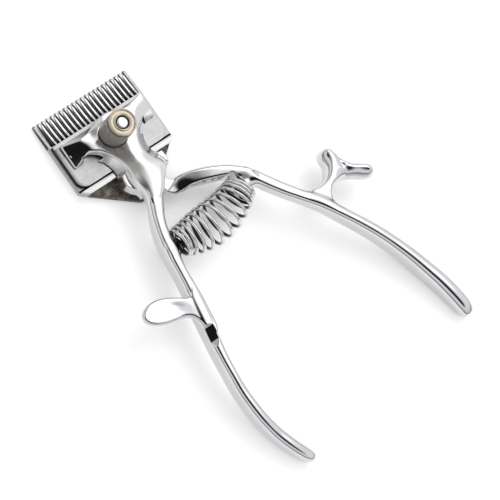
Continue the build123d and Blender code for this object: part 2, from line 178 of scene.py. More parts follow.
def mat_chrome(name, base=(0.70, 0.705, 0.715), low=0.03, high=0.10, wave=1.0, satin=None):
    """Plated, polished forging: slight waviness, fine polishing scratches, a few pits and smears.

    satin = (y0, y1, y2, y3) in metres: brushed finish between y1 and y2, fading out to y0 and y3.
    """
    m, n = material(name)
    p = n.new("ShaderNodeTexCoord").outputs["Object"]
    smear = n.noise(p, 140.0, 4.0, 0.6)
    fine = n.noise(n.stretch(p, (1400, 260, 900)), 1.0, 3.0, 0.6)
    tint = n.ramp(smear, [(0.35, tuple(c * 0.94 for c in base)), (0.65, base)])
    rough = n.ramp(n.math("ADD", n.math("MULTIPLY", smear, 0.6), n.math("MULTIPLY", fine, 0.4)), [(0.32, low), (0.68, high)])
    pits = n.new("ShaderNodeTexVoronoi", {"Vector": p, "Scale": 520.0, "Randomness": 1.0})
    pit = n.ramp(pits.outputs["Distance"], [(0.0, 0.0), (0.09, 1.0)])
    sparse = n.ramp(n.noise(p, 260.0, 2.0, 0.5), [(0.60, 0.0), (0.66, 1.0)])
    pitted = n.math("SUBTRACT", 1.0, n.math("MULTIPLY", n.math("SUBTRACT", 1.0, pit), sparse))
    nor = bump(n, n.noise(p, 95.0, 1.0, 0.4), 0.12 * wave, 0.0006)
    nor = bump(n, n.noise(p, 420.0, 2.0, 0.5), 0.05 * wave, 0.00012, nor)
    nor = bump(n, fine, 0.04, 0.00003, nor)
    nor = bump(n, pitted, 0.10, 0.00005, nor)
    if satin:
        along = n.new("ShaderNodeSeparateXYZ", {"Vector": p}).outputs["Y"]
        y0, y1, y2, y3 = satin
        on = n.new("ShaderNodeMapRange", {"Value": along, 1: y0, 2: y1, 3: 0.0, 4: 1.0}).outputs[0]
        off = n.new("ShaderNodeMapRange", {"Value": along, 1: y2, 2: y3, 3: 1.0, 4: 0.0}).outputs[0]
        mask = n.math("MULTIPLY", on, off)
        streak = n.noise(n.stretch(p, (3200, 130, 1500)), 1.0, 3.0, 0.6)
        rough = n.math("ADD", rough, n.math("MULTIPLY", mask, n.math("ADD", 0.10, n.math("MULTIPLY", streak, 0.12))))
        nor = bump(n, n.math("MULTIPLY", streak, mask), 0.16, 0.00003, nor)
    b = n.new("ShaderNodeBsdfPrincipled", {"Base Color": tint, "Metallic": 1.0, "Roughness": rough, "Normal": nor})
    finish_material(n, b)
    return m


def mat_blade(name, base=(0.62, 0.62, 0.615), dark=1.0, rough=(0.24, 0.42), along=(60, 2200, 900), grain=1.0):
    """Ground tool steel: fine parallel grinding lines, cloudy satin patches."""
    m, n = material(name)
    p = n.new("ShaderNodeTexCoord").outputs["Object"]
    lines = n.noise(n.stretch(p, along), 1.0, 3.0, 0.65)
    cloud = n.noise(p, 230.0, 4.0, 0.6)
    speck = n.noise(p, 2600.0, 2.0, 0.6)
    mixv = n.math("ADD", n.math("MULTIPLY", lines, 0.45), n.math("ADD", n.math("MULTIPLY", cloud, 0.25), n.math("MULTIPLY", speck, 0.30)))
    c0 = tuple(c * 0.72 * dark for c in base)
    c1 = tuple(min(1.0, c * 1.12) * dark for c in base)
    col = n.ramp(mixv, [(0.36, c0), (0.50, tuple(c * dark for c in base)), (0.62, c1)])
    r = n.ramp(cloud, [(0.3, rough[0]), (0.7, rough[1])])
    nor = bump(n, lines, 0.22 * grain, 0.00004)
    nor = bump(n, speck, 0.30 * grain, 0.00003, nor)
    b = n.new("ShaderNodeBsdfPrincipled", {"Base Color": col, "Metallic": 1.0, "Roughness": r, "Normal": nor})
    finish_material(n, b)
    return m


def mat_cast(name):
    """Unpolished forged tail of the comb blade: brown-grey scale with a coarse grain."""
    m, n = material(name)
    p = n.new("ShaderNodeTexCoord").outputs["Object"]
    big = n.noise(p, 480.0, 5.0, 0.65)
    grit = n.noise(p, 2200.0, 3.0, 0.7)
    col = n.ramp(n.math("ADD", n.math("MULTIPLY", big, 0.5), n.math("MULTIPLY", grit, 0.5)),
                 [(0.36, (0.035, 0.029, 0.025)), (0.50, (0.11, 0.097, 0.083)), (0.64, (0.34, 0.31, 0.275))])
    nor = bump(n, grit, 0.6, 0.00012)
    nor = bump(n, big, 0.4, 0.0003, nor)
    b = n.new("ShaderNodeBsdfPrincipled", {"Base Color": col, "Metallic": 0.8, "Roughness": 0.52, "Normal": nor})
    finish_material(n, b)
    return m


def mat_shade_steel(name):
    """Near-black steel, used as painted shade on the walls of the saw cuts and in recesses."""
    m, n = material(name)
    p = n.new("ShaderNodeTexCoord").outputs["Object"]
    v = n.noise(n.stretch(p, (900, 120, 2600)), 1.0, 3.0, 0.6)
    col = n.ramp(v, [(0.3, (0.006, 0.006, 0.006)), (0.7, (0.035, 0.034, 0.032))])
    b = n.new("ShaderNodeBsdfPrincipled", {"Base Color": col, "Metallic": 0.9, "Roughness": 0.5,
                                           "Normal": bump(n, v, 0.3, 0.00004)})
    finish_material(n, b)
    return m


def mat_turned(name, base, rough=(0.14, 0.24), rings=5200.0, depth=0.25, spots=0.0):
    """Turned metal: fine circular tool marks about the pivot axis."""
    m, n = material(name)
    p = n.new("ShaderNodeTexCoord").outputs["Object"]
    flat = n.vmath("MULTIPLY", p, (1.0, 1.0, 0.0))
    rad = n.vmath("LENGTH", flat, out=1)
    ring = n.noise(n.new("ShaderNodeCombineXYZ", {"X": n.math("MULTIPLY", rad, rings), "Y": 0.0, "Z": 0.0}).outputs[0], 1.0, 2.0, 0.6)
    cloud = n.noise(p, 700.0, 4.0, 0.6)
    c0 = tuple(c * 0.80 for c in base)
    c1 = tuple(min(1.0, c * 1.10) for c in base)
    col = n.ramp(n.math("ADD", n.math("MULTIPLY", ring, 0.4), n.math("MULTIPLY", cloud, 0.6)), [(0.34, c0), (0.52, base), (0.68, c1)])
    r = n.ramp(cloud, [(0.3, rough[0]), (0.7, rough[1])])
    nor = bump(n, ring, depth, 0.00004)
    nor = bump(n, cloud, 0.15, 0.00008, nor)
    b = n.new("ShaderNodeBsdfPrincipled", {"Base Color": col, "Metallic": 1.0, "Roughness": r, "Normal": nor})
    finish_material(n, b)
    return m


def mat_knurl(name):
    """Worn nickel over the knurled nut: warm grey, with painted shade darkening the grooves."""
    m, n = material(name)
    p = n.new("ShaderNodeTexCoord").outputs["Object"]
    flat = n.vmath("MULTIPLY", p, (1.0, 1.0, 0.0))
    rad = n.vmath("LENGTH", flat, out=1)
    # painted shade: the base colour falls to near-black toward the bottom of each knurl groove
    groove = n.ramp(n.new("ShaderNodeMapRange", {"Value": rad, 1: 0.00462, 2: 0.00496, 3: 0.0, 4: 1.0}).outputs[0],
                    [(0.0, (0.025, 0.022, 0.018)), (0.55, (0.10, 0.092, 0.082)), (0.88, (0.90, 0.865, 0.80)), (1.0, (0.95, 0.92, 0.86))])
    cloud = n.noise(p, 900.0, 4.0, 0.6)
    tint = n.ramp(cloud, [(0.3, (0.86, 0.84, 0.82)), (0.7, (1.05, 1.04, 1.02))])
    mul = n.new("ShaderNodeMix", data_type="RGBA", blend_type="MULTIPLY")
    rg = [s for s in mul.inputs if s.type == "RGBA"]
    mul.inputs[0].default_value = 1.0
    n.link(groove, rg[0])
    n.link(tint, rg[1])
    col = [s for s in mul.outputs if s.type == "RGBA"][0]
    b = n.new("ShaderNodeBsdfPrincipled", {"Base Color": col, "Metallic": 0.55,
                                           "Roughness": n.ramp(cloud, [(0.3, 0.22), (0.7, 0.36)]),
                                           "Normal": bump(n, cloud, 0.25, 0.00006)})
    finish_material(n, b)
    return m


def mat_wire(name):
    """Plated drawn spring wire: draw lines and a soft, slightly grey shine, with painted shade on the side of the wire
    facing the coil axis.
    """
    m, n = material(name)
    p = n.new("ShaderNodeTexCoord").outputs["Object"]
    v = n.noise(p, 650.0, 4.0, 0.6)
    s = n.noise(n.stretch(p, (700, 5200, 700)), 1.0, 2.0, 0.5)
    col = n.ramp(v, [(0.3, (0.62, 0.62, 0.63)), (0.7, (0.78, 0.78, 0.79))])
    # painted shade: the side of the wire facing the coil axis is mixed toward near-black; a mesh without the outward
    # attribute is near-black all over
    side = n.new("ShaderNodeAttribute", attribute_name="outward").outputs["Fac"]
    col = n.mix(n.ramp(side, [(0.30, 0.0), (0.72, 1.0)]), (0.05, 0.05, 0.052), col)
    b = n.new("ShaderNodeBsdfPrincipled", {"Base Color": col, "Metallic": 1.0,
                                           "Roughness": n.ramp(v, [(0.3, 0.06), (0.7, 0.13)]),
                                           "Normal": bump(n, s, 0.10, 0.00003)})
    finish_material(n, b)
    return m


M_CHROME = mat_chrome("chrome")
M_SADDLE = mat_chrome("chrome_brushed_saddle", satin=(-0.001, 0.006, 0.020, 0.027))
M_BLADE = mat_blade("blade_steel", base=(0.44, 0.442, 0.446))
M_BAND = mat_blade("blade_front_band", base=(0.50, 0.50, 0.498), rough=(0.26, 0.44), grain=1.8)
M_TOOTH = mat_blade("ground_tooth", base=(0.66, 0.66, 0.658), rough=(0.16, 0.28), along=(2200, 90, 900))
M_RAIL = mat_blade("ground_rail", base=(0.545, 0.545, 0.542), rough=(0.20, 0.34), along=(60, 1800, 900), grain=1.2)
M_WALL_SHADE = mat_shade_steel("saw_cut_wall_painted_shade")
M_CAST = mat_cast("rough_tail")
M_BRIGHT = mat_turned("bright_turned_steel", (0.80, 0.80, 0.80), rough=(0.08, 0.18))
M_BRASS = mat_turned("turned_brass", (0.47, 0.415, 0.335), rough=(0.16, 0.30))
M_NUT = mat_knurl("knurled_nickel")
M_WIRE = mat_wire("spring_wire")
M_RECESS_SHADE = mat_shade_steel("recess_painted_shade")

# ---------------------------------------------------------------------------
# small geometry kit
# ---------------------------------------------------------------------------


def mesh_object(name, verts_mm, faces, mats, face_mat=None, smooth=True):
    me = bpy.data.meshes.new(name)
    v = np.asarray(verts_mm, float) * MM
    me.from_pydata([tuple(p) for p in v], [], [tuple(int(i) for i in f) for f in faces])
    for mm in (mats if isinstance(mats, (list, tuple)) else [mats]):
        me.materials.append(mm)
    if face_mat is not None:
        me.polygons.foreach_set("material_index", np.asarray(face_mat, np.int32))
    me.polygons.foreach_set("use_smooth", [smooth] * len(me.polygons))
    me.update()
    o = bpy.data.objects.new(name, me)
    bpy.context.scene.collection.objects.link(o)
    return o


def place(o, body, slot, *nodes):
    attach(o, body)
    if nodes:
        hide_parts(*nodes)
    return o


def lathe(name, profile, segs, mats, close=False, centre=(0, 0), face_mat=None, ripple=None):
    """Turns (r, z) points in mm about a vertical axis. ripple(k, i) scales the radius of profile point i at segment k."""
    verts, faces, fm = [], [], []
    n = len(profile)
    poles = {i for i, (r, z) in enumerate(profile) if r < 1e-9}
    index = {}
    for i, (r, z) in enumerate(profile):
        for k in range(segs):
            if i in poles:
                index[i, k] = index.get((i, 0), len(verts))
                if k == 0:
                    verts.append((centre[0], centre[1], z))
                continue
            a = 2 * math.pi * k / segs
            rr = r + (ripple(k, i) if ripple else 0.0)
            index[i, k] = len(verts)
            verts.append((centre[0] + rr * math.cos(a), centre[1] + rr * math.sin(a), z))
    rows = range(n if close else n - 1)
    for i in rows:
        j = (i + 1) % n
        for k in range(segs):
            l = (k + 1) % segs
            q = [index[i, k], index[i, l], index[j, l], index[j, k]]
            q = [a for s, a in enumerate(q) if a != q[s - 1]]
            if len(set(q)) >= 3:
                faces.append(q)
                fm.append(face_mat[i] if face_mat else 0)
    return mesh_object(name, verts, faces, mats, fm)


def fix_normals(o):
    bm = bmesh.new()
    bm.from_mesh(o.data)
    bmesh.ops.recalc_face_normals(bm, faces=bm.faces)
    bm.to_mesh(o.data)
    bm.free()
    o.data.update()


def sharpen(o, degrees=35):
    """Marks edges sharper than the angle, so smooth shading breaks there."""
    bm = bmesh.new()
    bm.from_mesh(o.data)
    for e in bm.edges:
        if len(e.link_faces) == 2:
            e.smooth = e.calc_face_angle(0) < math.radians(degrees)
    bm.to_mesh(o.data)
    bm.free()
    o.data.update()


# ---------------------------------------------------------------------------
# castings: implicit surfaces, meshed with surface nets and pulled onto the surface
# ---------------------------------------------------------------------------


def smin(a, b, k):
    h = np.clip(0.5 + 0.5 * (b - a) / k, 0, 1)
    return b * (1 - h) + a * h - k * h * (1 - h)


def smax(a, b, k):
    return -smin(-a, -b, k)


def catmull(points, n, closed=False):
    """Points on a centripetal Catmull-Rom curve through the given points."""
    p = np.asarray(points, float)
    if closed:
        p = np.vstack([p[-1], p, p[0], p[1]])
    else:
        p = np.vstack([2 * p[0] - p[1], p, 2 * p[-1] - p[-2]])
    out = []
    for i in range(1, len(p) - 2):
        p0, p1, p2, p3 = p[i - 1:i + 3]
        t = np.linspace(0, 1, n, endpoint=False)[:, None]
        d1 = max(np.linalg.norm(p1[:3] - p0[:3]), 1e-9) ** 0.5
        d2 = max(np.linalg.norm(p2[:3] - p1[:3]), 1e-9) ** 0.5
        d3 = max(np.linalg.norm(p3[:3] - p2[:3]), 1e-9) ** 0.5
        m1 = (p2 - p1) + d2 * ((p1 - p0) / d1 - (p2 - p0) / (d1 + d2))
        m2 = (p2 - p1) + d2 * ((p3 - p2) / d3 - (p3 - p1) / (d2 + d3))
        out.append((2 * t**3 - 3 * t**2 + 1) * p1 + (t**3 - 2 * t**2 + t) * m1 + (-2 * t**3 + 3 * t**2) * p2 + (t**3 - t**2) * m2)
    if not closed:
        out.append(p[-2][None])
    return np.vstack(out)


class Sweep:
    """A rounded-rectangle section carried along stations (x, y, z, width, height)."""

    def __init__(self, stations, corner=0.40, crown_top=((0, 0.3), (130, 0.3)), crown_side=0.18, end_k=1.4, step=0.2):
        c = catmull(stations, 40)
        seg = np.linalg.norm(np.diff(c[:, :3], axis=0), axis=1)
        arc = np.concatenate([[0], np.cumsum(seg)])
        self.len = arc[-1]
        self.s = np.arange(0, self.len + step, step)
        self.s[-1] = self.len
        self.c = np.stack([np.interp(self.s, arc, c[:, i]) for i in range(5)], 1)
        # light smoothing along the curve
        for _ in range(12):
            self.c[1:-1] = 0.25 * self.c[:-2] + 0.5 * self.c[1:-1] + 0.25 * self.c[2:]
        self.t = np.gradient(self.c[:, :3], self.s, axis=0)
        self.t /= np.linalg.norm(self.t, axis=1)[:, None]
        chord = self.c[-1, :3] - self.c[0, :3]
        self.dir = chord / np.linalg.norm(chord)
        self.u = self.c[:, :3] @ self.dir
        self.u = np.maximum.accumulate(self.u + np.arange(len(self.u)) * 1e-9)
        self.corner, self.cs, self.end_k = corner, crown_side, end_k
        self.crown = np.interp(self.c[:, 1], [c[0] for c in crown_top], [c[1] for c in crown_top])

    def table(self, s, col):
        return np.interp(s, self.s, col)

    def local(self, P):
        s = np.interp(P @ self.dir, self.u, self.s)
        for _ in range(4):
            c = np.stack([self.table(s, self.c[:, i]) for i in range(3)], 1)
            t = np.stack([self.table(s, self.t[:, i]) for i in range(3)], 1)
            s = np.clip(s + 0.9 * np.einsum("ij,ij->i", P - c, t), 0, self.len)
        c = np.stack([self.table(s, self.c[:, i]) for i in range(3)], 1)
        t = np.stack([self.table(s, self.t[:, i]) for i in range(3)], 1)
        t /= np.linalg.norm(t, axis=1)[:, None]
        d = P - c
        over = np.einsum("ij,ij->i", d, t)
        side = np.stack([t[:, 1], -t[:, 0], np.zeros(len(t))], 1)
        side /= np.linalg.norm(side, axis=1)[:, None]
        up = np.cross(side, t)
        up *= np.sign(up[:, 2:3])
        a = np.einsum("ij,ij->i", d, side)
        b = np.einsum("ij,ij->i", d, up)
        return s, a, b, over

    def sdf(self, P):
        s, a, b, over = self.local(P)
        w = self.table(s, self.c[:, 3]) / 2
        h = self.table(s, self.c[:, 4]) / 2
        r = self.corner * np.minimum(w, h)
        top = self.table(s, self.crown) * np.clip(a / w, -1.25, 1.25) ** 2 * np.where(b > 0, 1.0, 0.45)
        sid = self.cs * np.clip(b / h, -1.2, 1.2) ** 2
        qa = np.abs(a) - (w - sid) + r
        qb = np.abs(b) - (h - top) + r
        d = np.minimum(np.maximum(qa, qb), 0) + np.hypot(np.maximum(qa, 0), np.maximum(qb, 0)) - r
        end = np.maximum(s - self.len + np.maximum(over, 0), -s + np.maximum(-over, 0))
        return smax(d, end, self.end_k)


class Plan:
    """Signed distance to a closed outline in plan, smoothed, on a fine grid."""

    def __init__(self, outline, smooth=0.35, step=0.1, pad=6.0, curve=0):
        pts = np.asarray(outline, float)
        if curve:
            pts = catmull(np.c_[pts, np.zeros(len(pts))], curve, closed=True)[:, :2]
        lo, hi = pts.min(0) - pad, pts.max(0) + pad
        nx, ny = (np.ceil((hi - lo) / step)).astype(int) + 1
        gx = lo[0] + step * np.arange(nx)
        gy = lo[1] + step * np.arange(ny)
        X, Y = np.meshgrid(gx, gy, indexing="ij")
        best = np.full(X.shape, 1e9)
        inside = np.zeros(X.shape, bool)
        for i in range(len(pts)):
            a, b = pts[i], pts[(i + 1) % len(pts)]
            e = b - a
            t = np.clip(((X - a[0]) * e[0] + (Y - a[1]) * e[1]) / max(e @ e, 1e-12), 0, 1)
            best = np.minimum(best, (X - a[0] - t * e[0]) ** 2 + (Y - a[1] - t * e[1]) ** 2)
            cross = (a[1] > Y) != (b[1] > Y)
            if abs(e[1]) > 1e-12:
                inside ^= cross & (X < a[0] + (Y - a[1]) * e[0] / e[1])
        d = np.sqrt(best)
        d[inside] *= -1
        self.g = blur(d, smooth / step)
        self.lo, self.step = lo, step

    def __call__(self, x, y):
        return bilinear(self.g, (x - self.lo[0]) / self.step, (y - self.lo[1]) / self.step)


def blur(g, sigma):
    if sigma <= 0:
        return g
    r = int(3 * sigma) + 1
    k = np.exp(-0.5 * (np.arange(-r, r + 1) / sigma) ** 2)
    k /= k.sum()
    for axis in (0, 1):
        p = np.pad(g, [(r, r) if a == axis else (0, 0) for a in (0, 1)], mode="edge")
        g = sum(w * np.take(p, range(i, i + g.shape[axis]), axis=axis) for i, w in enumerate(k))
    return g


def bilinear(g, u, v):
    u = np.clip(u, 0, g.shape[0] - 1.001)
    v = np.clip(v, 0, g.shape[1] - 1.001)
    i, j = u.astype(int), v.astype(int)
    fu, fv = u - i, v - j
    return (g[i, j] * (1 - fu) + g[i + 1, j] * fu) * (1 - fv) + (g[i, j + 1] * (1 - fu) + g[i + 1, j + 1] * fu) * fv


class Height:
    """Thin-plate surface z(x, y) through control points, on a grid."""

    def __init__(self, pts, lo, hi, step=0.25, stiff=0.002, shape=None):
        p = np.asarray(pts, float)
        n = len(p)

        def ker(r2):
            return np.where(r2 > 1e-12, 0.5 * r2 * np.log(np.maximum(r2, 1e-12)), 0.0)

        r2 = ((p[:, None, :2] - p[None, :, :2]) ** 2).sum(2)
        A = np.zeros((n + 3, n + 3))
        A[:n, :n] = ker(r2) + stiff * np.eye(n) * n
        A[:n, n] = 1
        A[:n, n + 1:] = p[:, :2]
        A[n:, :n] = A[:n, n:].T
        w = np.linalg.solve(A, np.concatenate([p[:, 2], np.zeros(3)]))
        nx, ny = int((hi[0] - lo[0]) / step) + 2, int((hi[1] - lo[1]) / step) + 2
        X, Y = np.meshgrid(lo[0] + step * np.arange(nx), lo[1] + step * np.arange(ny), indexing="ij")
        z = w[n] + w[n + 1] * X + w[n + 2] * Y
        for k in range(n):
            z += w[k] * ker((X - p[k, 0]) ** 2 + (Y - p[k, 1]) ** 2)
        if shape is not None:
            z = shape(X, Y, z)
        self.g, self.lo, self.step = z, lo, step

    def __call__(self, x, y):
        return bilinear(self.g, (x - self.lo[0]) / self.step, (y - self.lo[1]) / self.step)


def chunks(f, P, n=400000):
    return np.concatenate([f(P[i:i + n]) for i in range(0, len(P), n)]) if len(P) else np.zeros(0)


def net(f, lo, hi, h=0.25, block=8, lip=1.25, relax=2):
    """Mesh of f = 0: surface nets on the blocks near the surface, then vertices pulled onto it."""
    lo = np.asarray(lo, float)
    nb = np.ceil((np.asarray(hi, float) - lo) / (h * block)).astype(int)
    cx = [lo[i] + (np.arange(nb[i]) + 0.5) * h * block for i in range(3)]
    C = np.stack(np.meshgrid(*cx, indexing="ij"), -1).reshape(-1, 3)
    dc = chunks(f, C)
    near = np.abs(dc) < lip * (h * block * 0.87 + h)
    shape = nb * block + 1
    D = np.empty(shape, np.float32)
    big = np.repeat(np.repeat(np.repeat(np.sign(dc).reshape(nb).astype(np.float32), block, 0), block, 1), block, 2)
    D[:-1, :-1, :-1] = big
    D[-1] = 1
    D[:, -1] = 1
    D[:, :, -1] = 1
    near = near.reshape(nb)
    mask = np.zeros(shape, bool)
    m = np.repeat(np.repeat(np.repeat(near, block, 0), block, 1), block, 2)
    mask[:-1, :-1, :-1] |= m
    mask[1:, 1:, 1:] |= m
    mask[1:, :-1, :-1] |= m
    mask[:-1, 1:, :-1] |= m
    mask[:-1, :-1, 1:] |= m
    mask[1:, 1:, :-1] |= m
    mask[1:, :-1, 1:] |= m
    mask[:-1, 1:, 1:] |= m
    idx = np.argwhere(mask)
    D[mask] = chunks(f, lo + idx * h)
    D[0] = D[-1] = 1
    D[:, 0] = D[:, -1] = 1
    D[:, :, 0] = D[:, :, -1] = 1
    S = D < 0
    cnt = np.zeros(tuple(np.array(S.shape) - 1), np.int8)
    for a in (0, 1):
        for b in (0, 1):
            for c in (0, 1):
                cnt += S[a:S.shape[0] - 1 + a, b:S.shape[1] - 1 + b, c:S.shape[2] - 1 + c]
    cells = np.argwhere((cnt > 0) & (cnt < 8))
    cid = -np.ones(cnt.shape, np.int64)
    cid[tuple(cells.T)] = np.arange(len(cells))
    pos = np.zeros((len(cells), 3))
    num = np.zeros(len(cells))
    quads = []
    for ax in range(3):
        u, v = (ax + 1) % 3, (ax + 2) % 3
        s0 = [slice(None)] * 3
        s1 = [slice(None)] * 3
        s0[ax], s1[ax] = slice(0, -1), slice(1, None)
        A, B = D[tuple(s0)], D[tuple(s1)]
        e = np.argwhere((A < 0) != (B < 0))
        av, bv = A[tuple(e.T)], B[tuple(e.T)]
        t = av / (av - bv)
        p = e.astype(float)
        p[:, ax] += t
        ok = (e[:, u] > 0) & (e[:, v] > 0) & (e[:, u] < cnt.shape[u]) & (e[:, v] < cnt.shape[v])
        e, p, av = e[ok], p[ok], av[ok]
        ids = []
        for du, dv in ((-1, -1), (0, -1), (0, 0), (-1, 0)):
            c = e.copy()
            c[:, u] += du
            c[:, v] += dv
            k = cid[tuple(c.T)]
            ids.append(k)
            np.add.at(pos, k, p)
            np.add.at(num, k, 1)
        q = np.stack(ids, 1)
        flip = av > 0
        q[flip] = q[flip][:, ::-1]
        quads.append(q)
    F = np.vstack(quads)
    V = lo + pos / num[:, None] * h
    used = np.unique(F)
    remap = -np.ones(len(V), np.int64)
    remap[used] = np.arange(len(used))
    V, F = V[used], remap[F]

    def grad(P, e=0.08):
        g = np.empty_like(P)
        for i in range(3):
            d = np.zeros(3)
            d[i] = e
            g[:, i] = (chunks(f, P + d) - chunks(f, P - d)) / (2 * e)
        return g

    def pull(V, times):
        for _ in range(times):
            g = grad(V)
            d = chunks(f, V)
            step = d / np.maximum((g**2).sum(1), 0.15)
            V = V - np.clip(step, -h * 0.6, h * 0.6)[:, None] * g
        return V, g

    V, g = pull(V, 2)
    for _ in range(relax):
        nb_sum = np.zeros_like(V)
        nb_n = np.zeros(len(V))
        for i in range(4):
            a, b = F[:, i], F[:, (i + 1) % 4]
            np.add.at(nb_sum, a, V[b])
            np.add.at(nb_n, a, 1)
            np.add.at(nb_sum, b, V[a])
            np.add.at(nb_n, b, 1)
        d = nb_sum / nb_n[:, None] - V
        nrm = g / np.maximum(np.linalg.norm(g, axis=1), 1e-9)[:, None]
        d -= np.einsum("ij,ij->i", d, nrm)[:, None] * nrm
        V, g = pull(V + 0.7 * d, 1)
    V, g = pull(V, 1)
    return V, F


def casting(name, f, lo, hi, mats, h):
    V, F = net(f, lo, hi, h)
    # keep the largest connected shell
    parent = np.arange(len(V))
    for _ in range(200):
        low = parent[F].min(1)
        new = parent.copy()
        np.minimum.at(new, F.ravel(), np.repeat(low, 4))
        new = new[new]
        if (new == parent).all():
            break
        parent = new
    ids, counts = np.unique(parent[F[:, 0]], return_counts=True)
    keep = parent[F[:, 0]] == ids[counts.argmax()]
    F = F[keep]
    used = np.unique(F)
    remap = -np.ones(len(V), np.int64)
    remap[used] = np.arange(len(used))
    o = mesh_object(name, V[used], remap[F], mats)
    return o


# ---------------------------------------------------------------------------
# fixed handle: bridge over the blades, saddle, legs, neck, grip, thumb rest
# ---------------------------------------------------------------------------
COIL_A = np.array((4.3, 43.4, 9.4))
COIL_B = np.array((-28.0, 39.0, 9.4))
COIL_DIR = (COIL_B - COIL_A) / np.linalg.norm(COIL_B - COIL_A)

FIXED = [
    (-1.9, 17.5, 9.6, 10.4, 4.6), (-0.9, 21.0, 9.9, 8.6, 5.0), (0.6, 24.2, 10.1, 6.8, 5.2),
    (2.7, 28.0, 10.2, 5.7, 5.6), (5.3, 33.0, 9.4, 4.8, 7.2), (7.2, 38.8, 8.9, 4.7, 8.4),
    (8.3, 44.9, 8.85, 4.7, 8.7), (9.2, 51.3, 8.9, 4.3, 8.75), (10.1, 57.6, 9.1, 4.4, 8.7),
    (11.2, 64.0, 9.15, 4.8, 8.8), (12.3, 70.3, 9.1, 4.8, 8.8), (13.4, 76.6, 8.9, 4.5, 8.9),
    (14.3, 83.0, 8.4, 4.1, 8.8), (14.8, 89.3, 7.8, 4.0, 8.8), (15.0, 95.7, 6.95, 4.2, 8.7),
    (14.6, 102.0, 6.15, 4.4, 8.7), (13.7, 108.3, 5.3, 4.6, 8.4), (12.0, 114.6, 4.4, 4.8, 7.6),
    (9.6, 120.9, 3.9, 4.9, 6.8), (6.8, 126.5, 3.25, 4.7, 5.7), (4.9, 129.4, 2.6, 3.9, 4.4),
]
MOVING = [
    (-6.2, 24.6, 5.65, 5.0, 1.7), (-8.2, 26.4, 5.65, 5.4, 2.4), (-14.3, 27.3, 6.35, 5.8, 5.2),
    (-20.6, 29.5, 7.4, 5.6, 6.2), (-27.0, 32.7, 8.4, 4.8, 6.2), (-31.8, 37.0, 9.4, 4.7, 5.8),
    (-35.3, 42.6, 9.9, 4.9, 6.2), (-39.4, 48.6, 10.1, 4.7, 6.4), (-43.9, 54.4, 10.2, 4.5, 6.6),
    (-48.4, 60.1, 9.9, 4.5, 7.2), (-52.3, 66.0, 9.2, 4.5, 8.2), (-56.4, 72.3, 8.35, 4.6, 8.7),
    (-60.2, 78.6, 7.6, 4.8, 8.8), (-63.7, 85.1, 6.6, 5.0, 8.8), (-66.8, 91.9, 5.75, 5.3, 8.7),
    (-69.5, 98.8, 4.95, 5.6, 8.5), (-71.9, 105.9, 4.55, 6.0, 8.1), (-73.8, 113.0, 4.05, 6.2, 7.3),
    (-75.0, 119.0, 3.4, 5.9, 6.0), (-75.3, 122.4, 2.4, 5.0, 4.0),
]
grip_f = Sweep(FIXED, corner=0.55, crown_top=((20, 0.3), (60, 0.45), (85, 0.75), (130, 0.95)), crown_side=0.30, end_k=2.2)

TOP_EDGE = [
    (17.3, -5.7), (11.0, -4.1), (7.0, -4.6), (4.7, -5.6), (1.7, -6.8), (-1.9, -7.3), (-5.2, -6.6), (-9.6, -5.2),
    (-13.5, -5.7), (-17.6, -6.8), (-17.8, 2.0), (-13.2, 0.9), (-8.8, 2.8), (-6.9, 5.1), (-5.8, 7.4), (-5.0, 10.2),
    (-5.2, 12.5), (-6.2, 15.0), (-7.5, 17.1), (-8.4, 19.0), (-6.4, 21.2), (-4.2, 23.2), (-2.4, 25.2), (0.4, 28.0),
    (4.4, 28.0), (3.8, 24.6), (3.7, 23.2), (4.0, 19.6), (4.1, 16.5), (3.6, 12.9), (3.9, 9.7), (4.9, 5.9), (7.3, 2.6),
    (10.9, 0.7), (17.2, 3.3),
]
LOW_EDGE = [
    (17.5, -5.9), (11.0, -4.6), (7.2, -5.2), (4.9, -6.3), (1.7, -7.5), (-1.9, -7.8), (-5.4, -7.1), (-9.8, -5.7),
    (-13.5, -6.1), (-17.8, -7.0), (-18.0, 2.5), (-15.1, 2.7), (-12.6, 3.7), (-10.8, 5.4), (-9.9, 7.3), (-9.5, 9.6),
    (-10.1, 11.8), (-11.2, 13.9), (-11.7, 16.5), (-10.4, 19.2), (-7.4, 20.8), (-5.4, 22.6), (-3.4, 25.2), (0.0, 28.0),
    (4.6, 28.0), (3.9, 24.8), (4.6, 21.6), (6.6, 18.0), (6.2, 13.9), (6.3, 11.7), (6.7, 9.1), (7.6, 6.9), (9.5, 5.0),
    (11.9, 3.6), (13.8, 3.3), (17.4, 3.5),
]
